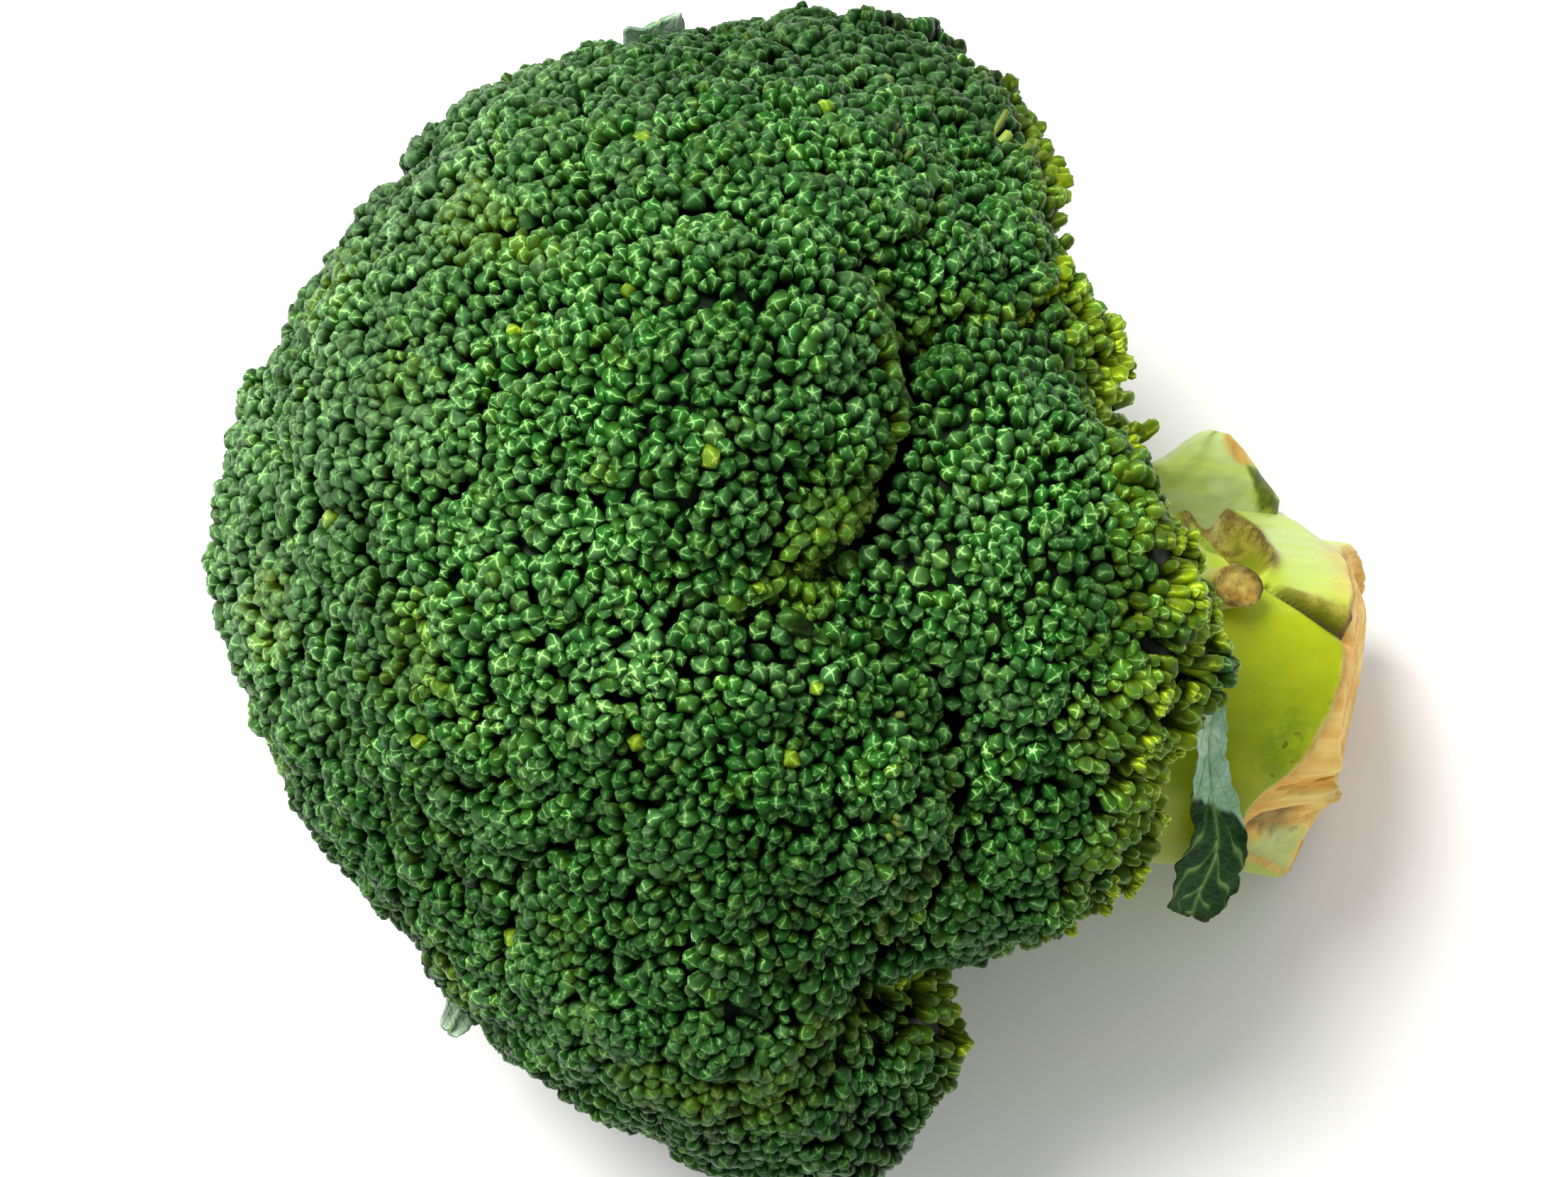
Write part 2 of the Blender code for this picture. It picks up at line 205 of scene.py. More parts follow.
# heads that stand back, or out, in some directions: (direction, share of the radius)
SHY = {
    "right": [(unit([0.458, 0.517, -0.681]), 0.20), (unit([0.19, -0.38, -0.90]), -0.07)],
    "fringe": [(unit([0.471, 0.658, -0.570]), 0.48), (unit([0.36, 0.30, -0.88]), 0.12)],
    "left": [(unit([-0.353, 0.10, 0.93]), -0.10)],
    "top_left": [(unit([-0.023, 0.665, 0.747]), 0.03)],
    "upper_left": [(unit([-0.023, 0.665, 0.747]), 0.20), (unit([-0.24, 0.35, 0.90]), 0.20)],
    "left_upper": [(unit([-0.04, 0.64, 0.77]), 0.36)],
    "mid_left": [(unit([-0.04, 0.64, 0.77]), 0.12)],
    "left_low": [(unit([-0.476, -0.665, 0.576]), 0.06)],
    "top_mid": [(unit([0.34, 0.93, 0.02]), -0.05)],
    "top_right": [(unit([0.40, 0.22, -0.89]), -0.12), (unit([0.46, 0.80, -0.38]), 0.16)],
    "low_right": [(unit([0.023, -0.665, -0.747]), -0.02)],
    "bottom": [(unit([0.38, 0.02, -0.92]), -0.21), (unit([0.08, -0.76, -0.64]), 0.10)],
    "bottom_mid": [(unit([-0.38, -0.80, 0.45]), -0.10)],
    "bottom_left": [(unit([-0.43, -0.40, 0.81]), 0.24)],
}


def crown_level(dirs):
    """Height of the crown over the fork if its heads were one even dome."""
    w = np.exp((dirs @ AXES.T - 1) / (2 * math.radians(11.5) ** 2) * 2)
    return (w @ EXTENTS) / (w.sum(1) + 1e-9), w.sum(1)


def eased(points, normals, ease=0.80):
    """Crevices between the heads are shallow: part of the way to the even dome."""
    far = np.linalg.norm(points, axis=1)
    d = points / far[:, None]
    level, near = crown_level(d)
    facing = (normals * d).sum(1)
    w = ease * smoothstep(0.12, 0.62, facing) * smoothstep(0.05, 0.35, near)
    return points + d * (w * (level - 1.0 - far).clip(-6.0, 10.0))[:, None], unit(normals * (1 - 0.5 * w)[:, None] + d * (0.5 * w)[:, None]), w


def sphere_dirs(level):
    bm = bmesh.new()
    bmesh.ops.create_icosphere(bm, subdivisions=level, radius=1.0)
    bm.verts.ensure_lookup_table()
    dirs = unit(np.array([v.co for v in bm.verts]))
    faces = np.array([[v.index for v in f.verts] for f in bm.faces])
    bm.free()
    return dirs, faces


SPHERE, SPHERE_FACES = sphere_dirs(3)


def place_of_fork():
    """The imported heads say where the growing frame's origin lies in the row frame."""
    found = []
    for head in [h for h in heads if h["name"] not in SHY][:6]:
        pts = (head["centre"] + SPHERE * reach(head, SPHERE)[0][:, None]) @ TURN.T
        low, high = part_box("floret_" + head["name"])
        found.append((np.array(low) * 1000 - pts.min(0) + np.array(high) * 1000 - pts.max(0)) / 2)
    return np.mean(found, 0)


FORK = place_of_fork()
BOX_LOW, BOX_HIGH = np.array(cad_low) * 1000, np.array(cad_high) * 1000


def to_row(points):
    """Growing frame in mm to the row frame in metres, kept inside the CAD box."""
    world = np.asarray(points, float) @ TURN.T + FORK
    world = np.minimum(np.maximum(world, BOX_LOW + (-1.5, -1.5, 0.03)), BOX_HIGH + 1.5)
    return world * 0.001


# ------------------------------------------------------------------- noise
_perm = np.random.RandomState(11).permutation(512)
_perm = np.concatenate([_perm, _perm, _perm])
_grad = unit(np.random.RandomState(12).normal(size=(512, 3)))


def perlin(p):
    p = np.asarray(p, float)
    cell = np.floor(p).astype(int)
    f = p - cell
    u = f * f * f * (f * (f * 6 - 15) + 10)
    total = np.zeros(p.shape[:-1])
    for dx in (0, 1):
        for dy in (0, 1):
            for dz in (0, 1):
                c = cell + (dx, dy, dz)
                h = _perm[(_perm[(_perm[c[..., 0] & 511] + c[..., 1]) & 511] + c[..., 2]) & 511]
                dot = ((f - (dx, dy, dz)) * _grad[h]).sum(-1)
                w = (u[..., 0] if dx else 1 - u[..., 0]) * (u[..., 1] if dy else 1 - u[..., 1]) * (u[..., 2] if dz else 1 - u[..., 2])
                total += w * dot
    return total * 1.6


# ------------------------------------------------------------------ meshes
def make_piece(name, points, faces, materials, attributes=None, index=None, uv=None, loop_uv=None, replaces=()):
    """One mesh object of triangles. points are in the growing frame, mm."""
    mesh = bpy.data.meshes.new(name)
    faces = np.asarray(faces, np.int32)
    co = to_row(points).astype(np.float32)
    mesh.vertices.add(len(co))
    mesh.vertices.foreach_set("co", co.ravel())
    mesh.loops.add(len(faces) * 3)
    mesh.loops.foreach_set("vertex_index", faces.ravel())
    mesh.polygons.add(len(faces))
    mesh.polygons.foreach_set("loop_start", np.arange(0, len(faces) * 3, 3, dtype=np.int32))
    for mat in materials:
        mesh.materials.append(mat)
    if index is not None:
        mesh.polygons.foreach_set("material_index", np.asarray(index, np.int32))
    mesh.update(calc_edges=True)
    mesh.shade_smooth()
    for key, values in (attributes or {}).items():
        values = np.asarray(values, np.float32)
        kind = "FLOAT_VECTOR" if values.ndim == 2 else "FLOAT"
        layer = mesh.attributes.new(key, kind, "POINT")
        layer.data.foreach_set("vector" if values.ndim == 2 else "value", values.ravel())
    if uv is not None or loop_uv is not None:
        layer = mesh.uv_layers.new(name="OFBake")
        data = np.asarray(loop_uv if loop_uv is not None else np.asarray(uv)[faces.ravel()], np.float32)
        layer.data.foreach_set("uv", data.ravel())
    obj = bpy.data.objects.new(name, mesh)
    bpy.context.scene.collection.objects.link(obj)
    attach(obj, "root")
    if replaces:
        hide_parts(*replaces)
    return obj


class Builder:
    """Collects parts of one mesh with their attributes."""

    def __init__(self, keys):
        self.points, self.faces, self.index, self.uv = [], [], [], []
        self.attributes = {k: [] for k in keys}
        self.count = 0

    def add(self, points, faces, uv, index=0, **attributes):
        points = np.asarray(points, float).reshape(-1, 3)
        self.points.append(points)
        self.faces.append(np.asarray(faces) + self.count)
        self.index.append(np.full(len(faces), index))
        self.uv.append(np.asarray(uv, float))
        for k in self.attributes:
            v = np.asarray(attributes[k], float)
            if k == "sides":
                v = np.broadcast_to(v, (len(points),))
            else:
                v = np.broadcast_to(v, (len(points), 3))
            self.attributes[k].append(v)
        self.count += len(points)

    def finish(self, name, materials, replaces):
        attributes = {k: np.concatenate(v) for k, v in self.attributes.items()}
        return make_piece(name, np.concatenate(self.points), np.concatenate(self.faces), materials, attributes,
                          np.concatenate(self.index), np.concatenate(self.uv), replaces=replaces)


def tube(path, radii, sides, flute=0.0, cap=True, seed=0):
    """A tapered tube along a path: (points, faces, share along, angle)."""
    path = np.asarray(path, float)
    n = len(path)
    tangent = unit(np.gradient(path, axis=0))
    ref = np.array([0.3, 0.2, 0.93])
    side = unit(np.cross(tangent[0], ref))
    pts, along, around = [], [], []
    angle = np.arange(sides) * 2 * math.pi / sides
    for i in range(n):
        side = unit(side - tangent[i] * np.dot(side, tangent[i]))
        other = np.cross(tangent[i], side)
        r = radii[i] * (1 + flute * np.cos(3 * angle + seed + 0.5 * i / n) + 0.6 * flute * np.cos(5 * angle + 2 * seed))
        pts.append(path[i] + (np.cos(angle) * r)[:, None] * side + (np.sin(angle) * r)[:, None] * other)
        along.append(np.full(sides, i / (n - 1)))
        around.append(angle / (2 * math.pi))
    j = np.arange(sides)
    k = (j + 1) % sides
    faces = []
    for i in range(n - 1):
        a, b = i * sides, (i + 1) * sides
        faces.append(np.stack([a + j, a + k, b + k], 1))
        faces.append(np.stack([a + j, b + k, b + j], 1))
    pts, along, around = np.concatenate(pts), np.concatenate(along), np.concatenate(around)
    if cap:
        pts = np.concatenate([pts, path[-1:] + tangent[-1:] * radii[-1] * 0.5])
        along, around = np.append(along, 1.0), np.append(around, 0.5)
        b = (n - 1) * sides
        faces.append(np.stack([b + j, b + k, np.full(sides, len(pts) - 1)], 1))
    return pts, np.concatenate(faces), along, around


def smooth_path(points, count):
    points = [np.asarray(p, float) for p in points]
    points = [2 * points[0] - points[1]] + points + [2 * points[-1] - points[-2]]
    out, spans = [], len(points) - 3
    for i in range(count):
        u = i / (count - 1) * spans
        k = min(int(u), spans - 1)
        t = u - k
        a, b, c, d = points[k : k + 4]
        out.append(0.5 * (2 * b + (c - a) * t + (2 * a - 5 * b + 4 * c - d) * t * t + (3 * b - a - 3 * c + d) * t**3))
    return np.array(out)


# --------------------------------------------------------------- materials
class Graph:
    def __init__(self, name):
        self.mat = bpy.data.materials.new(name)
        self.mat.use_nodes = True
        self.tree = self.mat.node_tree
        self.shader = self.tree.nodes["Principled BSDF"]

    def node(self, kind, **settings):
        n = self.tree.nodes.new(kind)
        for k, v in settings.items():
            setattr(n, k, v)
        return n

    def put(self, socket, value):
        if isinstance(value, bpy.types.NodeSocket):
            self.tree.links.new(value, socket)
        elif isinstance(value, (tuple, list)) and len(value) == 3 and socket.type == "RGBA":
            socket.default_value = (*value, 1.0)
        else:
            socket.default_value = value

    def math(self, op, a, b=0.0, c=0.0, clamp=False):
        n = self.node("ShaderNodeMath", operation=op, use_clamp=clamp)
        for s, v in zip(n.inputs, (a, b, c)):
            self.put(s, v)
        return n.outputs[0]

    def ramp(self, x, lo, hi, out_lo=0.0, out_hi=1.0):
        n = self.node("ShaderNodeMapRange", interpolation_type="SMOOTHSTEP", clamp=True)
        for s, v in zip(n.inputs, (x, lo, hi, out_lo, out_hi)):
            self.put(s, v)
        return n.outputs[0]

    def mix(self, f, a, b):
        n = self.node("ShaderNodeMix", data_type="RGBA")
        self.put(n.inputs[0], f)
        self.put(n.inputs[6], a)
        self.put(n.inputs[7], b)
        return n.outputs[2]

    def noise(self, scale, detail=2.0, rough=0.5, vector=None, distortion=0.0):
        n = self.node("ShaderNodeTexNoise")
        if vector is None:
            vector = self.node("ShaderNodeTexCoord").outputs["Object"]
        self.put(n.inputs["Vector"], vector)
        n.inputs["Scale"].default_value = scale
        n.inputs["Detail"].default_value = detail
        n.inputs["Roughness"].default_value = rough
        n.inputs["Distortion"].default_value = distortion
        return n.outputs["Fac"]

    def attribute(self, name):
        return self.node("ShaderNodeAttribute", attribute_name=name)

    def split(self, vector):
        n = self.node("ShaderNodeSeparateXYZ")
        self.put(n.inputs[0], vector)
        return n.outputs

    def bump(self, height, strength, distance, normal=None):
        n = self.node("ShaderNodeBump")
        n.inputs["Strength"].default_value = strength
        n.inputs["Distance"].default_value = distance
        self.put(n.inputs["Height"], height)
        if normal is not None:
            self.put(n.inputs["Normal"], normal)
        return n.outputs[0]


def bud_material():
    g = Graph("bud_skin")
    x, y, h = g.split(g.attribute("bud").outputs["Vector"])
    tone, yellow, bloom_and_sheen = g.split(g.attribute("tone").outputs["Vector"])
    sides = g.attribute("sides").outputs["Fac"]
    far = g.math("SQRT", g.math("ADD", g.math("MULTIPLY", x, x), g.math("MULTIPLY", y, y)))
    fine = g.noise(1100, 1.0, 0.6)
    angle = g.math("ADD", g.math("ARCTAN2", y, x), g.math("MULTIPLY_ADD", fine, 1.1, -0.55))
    wave = g.math("ABSOLUTE", g.math("SINE", g.math("MULTIPLY", g.math("MULTIPLY", angle, sides), 0.5)))
    off = g.math("DIVIDE", g.math("MULTIPLY", g.math("MULTIPLY", wave, far), 2.0), g.math("MAXIMUM", sides, 1.0))
    lobe = g.ramp(off, 0.46, 0.06)
    ridge = g.math("MULTIPLY", g.math("MULTIPLY", g.ramp(off, 0.115, 0.015), g.ramp(h, 0.15, 0.80)), g.ramp(fine, 0.36, 0.60))
    # painted shade: the bud bases are coloured near-black for the shade between the buds; the paler tops are partly the
    # tips' own colour and partly painted light
    deep = g.mix(yellow, (0.0005, 0.0090, 0.0004), (0.050, 0.095, 0.001))
    flank = g.mix(yellow, (0.0010, 0.0225, 0.0008), (0.230, 0.350, 0.003))
    flank = g.mix(g.math("MULTIPLY", tone, 0.6), flank, g.mix(yellow, (0.0180, 0.1050, 0.0040), (0.32, 0.42, 0.006)))
    crown = g.mix(yellow, (0.0115, 0.084, 0.0095), (0.18, 0.33, 0.006))
    crown = g.mix(g.math("MULTIPLY", bloom_and_sheen, 0.85), crown, (0.110, 0.215, 0.090))
    body = g.mix(g.ramp(h, 0.08, 0.72), deep, flank)
    body = g.mix(g.ramp(h, 0.58, 1.0), body, crown)
    body = g.mix(g.math("MULTIPLY", g.ramp(fine, 0.42, 0.75), 0.30), body, g.mix(yellow, (0.034, 0.145, 0.020), (0.42, 0.50, 0.02)))
    pale = g.mix(yellow, (0.33, 0.62, 0.20), (0.66, 0.78, 0.10))
    body = g.mix(g.math("MULTIPLY", ridge, g.math("MULTIPLY_ADD", tone, 0.50, 0.30)), body, pale)
    value = g.node("ShaderNodeHueSaturation")
    g.put(value.inputs["Color"], body)
    # painted shade: the ground under the buds (bud attribute far out) is darkened to a quarter for the gaps between the
    # buds
    ground = g.math("MULTIPLY_ADD", g.ramp(far, 3.2, 2.0), 0.75, 0.25)
    # painted shade: the value is lowered in the grooves between the sepal lobes
    g.put(value.inputs["Value"], g.math("MULTIPLY", ground, g.math("MULTIPLY", g.math("MULTIPLY_ADD", tone, 0.75, 0.62), g.math("MULTIPLY_ADD", lobe, 0.55, 0.55))))
    g.put(g.shader.inputs["Base Color"], value.outputs[0])
    g.put(g.shader.inputs["Roughness"], g.math("MULTIPLY_ADD", fine, 0.25, 0.28))
    g.shader.inputs["Specular IOR Level"].default_value = 0.13
    g.shader.inputs["Specular Tint"].default_value = (0.65, 1.0, 0.55, 1.0)
    return g.mat


def stem_material(name="stem_skin"):
    """Branches, twigs and pedicels: smooth yellow-green, paler along the ribs. stem = (along, around, painted shade:
    darker inside the crown).
    """
    g = Graph(name)
    along, around, shade = g.split(g.attribute("bud").outputs["Vector"])
    tone, yellow, bloom_and_sheen = g.split(g.attribute("tone").outputs["Vector"])
    patch = g.noise(60, 3.0, 0.6)
    fine = g.noise(900, 3.0, 0.6)
    green = g.mix(g.ramp(patch, 0.38, 0.66), (0.13, 0.27, 0.010), (0.36, 0.48, 0.030))
    green = g.mix(yellow, green, g.mix(g.ramp(patch, 0.35, 0.7), (0.40, 0.50, 0.008), (0.66, 0.70, 0.06)))
    green = g.mix(g.math("MULTIPLY", bloom_and_sheen, 0.6), green, (0.52, 0.64, 0.22))
    green = g.mix(g.ramp(shade, 0.0, 1.0), green, (0.012, 0.040, 0.008))
    green = g.mix(g.math("MULTIPLY", g.ramp(fine, 0.5, 0.8), 0.25), green, (0.42, 0.50, 0.20))
    g.put(g.shader.inputs["Base Color"], green)
    g.put(g.shader.inputs["Roughness"], g.math("MULTIPLY_ADD", fine, 0.2, 0.36))
    g.shader.inputs["Specular IOR Level"].default_value = 0.25
    g.put(g.shader.inputs["Normal"], g.bump(fine, 0.35, 0.00020))
    return g.mat


def stalk_material():
    """Main stalk and stubs. kind = (pale, brown, near-black for dark colour and painted shade); more = (cut face,
    yellow, blotch).
    """
    g = Graph("stalk_skin")
    pale, brown, dark_and_shade = g.split(g.attribute("kind").outputs["Vector"])
    cut, yellow, blotch = g.split(g.attribute("more").outputs["Vector"])
    grain = g.attribute("grain").outputs["Vector"]
    broad = g.noise(55, 3.0, 0.55)
    streak = g.noise(1.0, 3.0, 0.6, vector=grain)
    fine = g.noise(1300, 3.0, 0.65)
    speck = g.noise(700, 2.0, 0.5)
    base = g.mix(g.ramp(broad, 0.35, 0.68), (0.39, 0.50, 0.022), (0.48, 0.58, 0.050))
    base = g.mix(yellow, base, g.mix(g.ramp(broad, 0.36, 0.66), (0.29, 0.38, 0.0012), (0.41, 0.47, 0.003)))
    base = g.mix(pale, base, g.mix(g.ramp(streak, 0.35, 0.65), (0.45, 0.56, 0.26), (0.38, 0.50, 0.13)))
    base = g.mix(g.math("MULTIPLY", g.ramp(streak, 0.5, 0.75), g.math("MULTIPLY_ADD", yellow, -0.24, 0.30)), base, (0.74, 0.78, 0.20))
    base = g.mix(g.math("MULTIPLY", blotch, g.ramp(g.noise(260, 4.0, 0.7), 0.30, 0.62)), base, (0.150, 0.240, 0.002))
    dots = g.math("MULTIPLY", g.ramp(speck, 0.66, 0.74), g.math("MULTIPLY_ADD", blotch, 0.8, 0.14))
    base = g.mix(dots, base, (0.075, 0.095, 0.012))
    flesh = g.mix(g.ramp(streak, 0.30, 0.72), (0.77, 0.37, 0.045), (0.90, 0.66, 0.210))
    flesh = g.mix(g.ramp(g.noise(140, 4.0, 0.65), 0.48, 0.72), flesh, (0.56, 0.24, 0.030))
    base = g.mix(cut, base, flesh)
    crust = g.mix(g.ramp(g.noise(420, 4.0, 0.7), 0.38, 0.62), (0.10, 0.055, 0.010), (0.36, 0.27, 0.050))
    base = g.mix(brown, base, crust)
    # near-black: painted shade in the stalk's slit, in the cut face's recesses and on one side of the shoot stub's
    # edge; also the dark colour of the leaf scar and a thin dark line along the hollow's rim
    base = g.mix(dark_and_shade, base, (0.018, 0.014, 0.004))
    g.put(g.shader.inputs["Base Color"], base)
    g.put(g.shader.inputs["Roughness"], g.math("ADD", g.math("MULTIPLY_ADD", fine, 0.2, 0.30), g.math("MULTIPLY", cut, 0.25)))
    g.shader.inputs["Specular IOR Level"].default_value = 0.25
    g.shader.inputs["Subsurface Weight"].default_value = 0.25
    g.shader.inputs["Subsurface Radius"].default_value = (0.003, 0.004, 0.001)
    g.shader.inputs["Subsurface Scale"].default_value = 0.6
    height = g.math("ADD", g.math("MULTIPLY", fine, 0.25), g.math("MULTIPLY", streak, g.math("MULTIPLY_ADD", cut, 0.5, 0.15)))
    height = g.math("ADD", height, g.math("MULTIPLY", g.math("MULTIPLY", brown, g.noise(420, 4.0, 0.7)), 1.5))
    g.put(g.shader.inputs["Normal"], g.bump(height, 0.5, 0.0004))
    return g.mat


def leaf_material():
    """blade = (across -1..1, along 0..1, underside 0..1)."""
    g = Graph("leaf_skin")
    across, along, below = g.split(g.attribute("blade").outputs["Vector"])
    vein = g.attribute("vein").outputs["Fac"]
    cells = g.node("ShaderNodeTexVoronoi", feature="DISTANCE_TO_EDGE")
    g.put(cells.inputs["Vector"], g.node("ShaderNodeTexCoord").outputs["Object"])
    cells.inputs["Scale"].default_value = 620
    net = g.ramp(cells.outputs["Distance"], 0.14, 0.02)
    broad = g.noise(160, 3.0, 0.6)
    fine = g.noise(1600, 3.0, 0.6)
    top = g.mix(g.ramp(broad, 0.35, 0.7), (0.0005, 0.018, 0.0006), (0.003, 0.052, 0.002))
    under = g.mix(g.ramp(broad, 0.35, 0.7), (0.26, 0.46, 0.30), (0.60, 0.76, 0.60))
    body = g.mix(below, top, under)
    body = g.mix(g.math("MULTIPLY", net, 0.16), body, (0.09, 0.19, 0.07))
    body = g.mix(g.math("MULTIPLY", vein, g.math("MULTIPLY_ADD", below, -0.45, 0.9)), body, (0.30, 0.50, 0.14))
    g.put(g.shader.inputs["Base Color"], body)
    g.put(g.shader.inputs["Roughness"], g.math("MULTIPLY_ADD", fine, 0.2, 0.42))
    g.shader.inputs["Specular IOR Level"].default_value = 0.08
    g.shader.inputs["Specular Tint"].default_value = (0.55, 1.0, 0.45, 1.0)
    height = g.math("ADD", g.math("MULTIPLY", net, -0.5), g.math("MULTIPLY", fine, 0.3))
    g.put(g.shader.inputs["Normal"], g.bump(height, 0.4, 0.00025))
    return g.mat


BUD, STEM, STALK, LEAF = bud_material(), stem_material(), stalk_material(), leaf_material()


# -------------------------------------------------------------------- buds
RINGS_FINE = [(-1.0, 0.70, 0.00, 0.0, 2.0, 0.0), (-0.56, 1.03, 0.060, 0.0, 1.40, 0.42), (-0.19, 0.97, 0.085, 0.006, 0.93, 0.78), (-0.036, 0.62, 0.085, 0.018, 0.50, 0.94)]
RINGS_COARSE = [(-0.95, 0.72, 0.0, 0.0, 1.8, 0.05), (-0.34, 1.02, 0.09, 0.01, 1.05, 0.66), (-0.07, 0.56, 0.14, 0.030, 0.52, 0.93)]


def bud_mesh(rng, lobes, rings, pos, axis, r, height, relief):
    """Knobbly closed buds with their tips at pos: points, faces, local attribute, layout on the map."""
    count, m = len(pos), 2 * lobes
    ref = unit(rng.normal(size=(count, 3)))
    t1 = unit(np.cross(axis, ref))
    t2 = np.cross(axis, t1)
    theta = np.arange(m) * math.pi / lobes
    lobe = np.where(np.arange(m) % 2 == 0, 1.0, -1.0)
    squash = 1 + 0.13 * rng.normal(size=(count, 1)).clip(-1.6, 1.6)
    # sepals close off the middle and a little twisted
    off, twist = 0.20 * rng.normal(size=(count, 1, 2)).clip(-1.4, 1.4), 0.35 * rng.normal(size=(count, 1))
    bend = 0.16 * rng.normal(size=(count, 2)).clip(-1.5, 1.5)
    x, y, z, attr, plan = [], [], [], [], []
    for depth, wide, lobing, lift, stretch, h in rings:
        rr = wide * (1 + lobing * lobe[None, :] * relief[:, None]) * (1 + 0.045 * rng.normal(size=(count, m)))
        x.append(rr * np.cos(theta) * squash + bend[:, :1] * (depth + 0.4))
        y.append(rr * np.sin(theta) / squash + bend[:, 1:] * (depth + 0.4))
        z.append(depth + lift * lobe[None, :] * relief[:, None] + 0.02 * rng.normal(size=(count, m)))
        turned = theta[None] + twist * (stretch - 0.5)
        attr.append(np.concatenate([stretch * np.stack([np.cos(turned), np.sin(turned)], 2) + off, np.full((count, m, 1), h)], 2))
        plan.append(np.stack([np.cos(theta), np.sin(theta)], 1) * stretch / 2.0)
    x.append(bend[:, :1] * 0.4)
    y.append(bend[:, 1:] * 0.4)
    z.append(-0.006 - 0.035 * rng.rand(count, 1) * relief[:, None])
    attr.append(np.concatenate([off, np.full((count, 1, 1), 0.97)], 2))
    plan.append(np.array([[0.0, 0.0]]))
    x, y, z = (np.concatenate(v, 1) for v in (x, y, z))
    attr, plan = np.concatenate(attr, 1), np.concatenate(plan)
    pts = pos[:, None] + (x * r[:, None])[..., None] * t1[:, None] + (y * r[:, None])[..., None] * t2[:, None] + (z * height[:, None])[..., None] * axis[:, None]
    j = np.arange(m)
    k = (j + 1) % m
    faces = []
    for i in range(len(rings) - 1):
        a, b = i * m, (i + 1) * m
        faces += [np.stack([a + j, a + k, b + k], 1), np.stack([a + j, b + k, b + j], 1)]
    a, tip = (len(rings) - 1) * m, len(rings) * m
    faces.append(np.stack([a + j, a + k, np.full(m, tip)], 1))
    faces = np.concatenate(faces)
    per = tip + 1
    faces = (faces[None] + (np.arange(count) * per)[:, None, None]).reshape(-1, 3)
    return pts, faces, attr, plan, per


def fibonacci(n, seed):
    i = np.arange(n) + 0.5
    z = 1 - 2 * i / n
    a = i * 2.399963 + seed
    s = np.sqrt(1 - z * z)
    return np.stack([s * np.cos(a), s * np.sin(a), z], 1)


def cluster_centres(head, rng):
    """Directions of the small tufts that a bud head is made of."""
    dirs = fibonacci(2600, rng.rand() * 6)
    held, free = reach(head, dirs)
    c = dirs @ head["lean"]
    keep = (held > free - 0.6) & (c > -0.30)
    dirs, free = dirs[keep], free[keep]
    order = rng.permutation(len(dirs))
    pts = dirs * free[:, None]
    chosen = []
    spacing = 8.2 + 1.4 * perlin(head["centre"][None] * 0.3)[0]
    for i in order:
        if all(np.dot(pts[i] - pts[j], pts[i] - pts[j]) > spacing * spacing for j in chosen):
            chosen.append(i)
    return dirs[chosen], pts[chosen]


def tuft_buds(head, rng):
    """Places of the buds: rosettes of small buds in the middle and larger ones round them."""
    dirs, tops = cluster_centres(head, rng)
    out = []
    for k, (d, p) in enumerate(zip(dirs, tops)):
        t1 = unit(np.cross(d, [0.31, 0.85, 0.42]))
        t2 = np.cross(d, t1)
        i = np.arange(46)
        rho = 0.84 * (i + 0.25) ** 0.56
        phi = i * 2.399963 + rng.rand() * 6.28
        rho = rho * (1 + 0.06 * rng.normal(size=46))
        space = np.sqrt(math.pi * 0.7056 * 1.12 * (i + 0.25) ** 0.12 / 0.866)
        q = p + np.outer(rho * np.cos(phi), t1) + np.outer(rho * np.sin(phi), t2)
        q = q + 0.14 * rng.normal(size=q.shape)
        u = unit(q)
        dist = np.linalg.norm(q[:, None] - tops[None], axis=2) if len(tops) > 1 else np.linalg.norm(q - p, axis=1)[:, None]
        own = dist[:, k] if len(tops) > 1 else dist[:, 0]
        best = dist.min(1)
        keep = own < best + 0.35
        out.append(np.concatenate([u, rho[:, None], space[:, None], np.full((46, 1), k), np.full((46, 1), rng.normal())], 1)[keep])
    out = np.concatenate(out)
    return out, dirs, tops


def thin(points, radii, order, factor):
    """Drops buds that would sit inside one another."""
    tree = kdtree.KDTree(len(points))
    for i, p in enumerate(points):
        tree.insert(p, i)
    tree.balance()
    alive = np.ones(len(points), bool)
    done = np.zeros(len(points), bool)
    for i in order:
        if not alive[i]:
            continue
        done[i] = True
        for _, j, d in tree.find_range(points[i], 3.2):
            if j != i and alive[j] and not done[j] and d < factor * (radii[i] + radii[j]):
                alive[j] = False
    return alive


def neighbours(points, count):
    tree = kdtree.KDTree(len(points))
    for i, p in enumerate(points):
        tree.insert(p, i)
    tree.balance()
    return np.array([[j for _, j, _ in tree.find_n(p, count + 1)][1:] for p in points])


def spread(points, normals, radii, rounds):
    """Buds push one another apart until they only touch."""
    points = points.copy()
    for _ in range(rounds):
        near = neighbours(points, 7)
        away = points[:, None] - points[near]
        d = np.linalg.norm(away, axis=2)
        gap = 0.92 * (radii[:, None] + radii[near]) - d
        push = (away / np.maximum(d, 0.05)[..., None] * (0.5 * gap.clip(0, None))[..., None]).sum(1)
        push -= normals * (push * normals).sum(1, keepdims=True)
        size = np.linalg.norm(push, axis=1, keepdims=True)
        points += push * np.minimum(1.0, 0.45 / np.maximum(size, 1e-6))
    return points


SIGHT = TURN.T @ (TURN @ unit([0.879, -0.342, 0.332]))  # towards the side that shows most


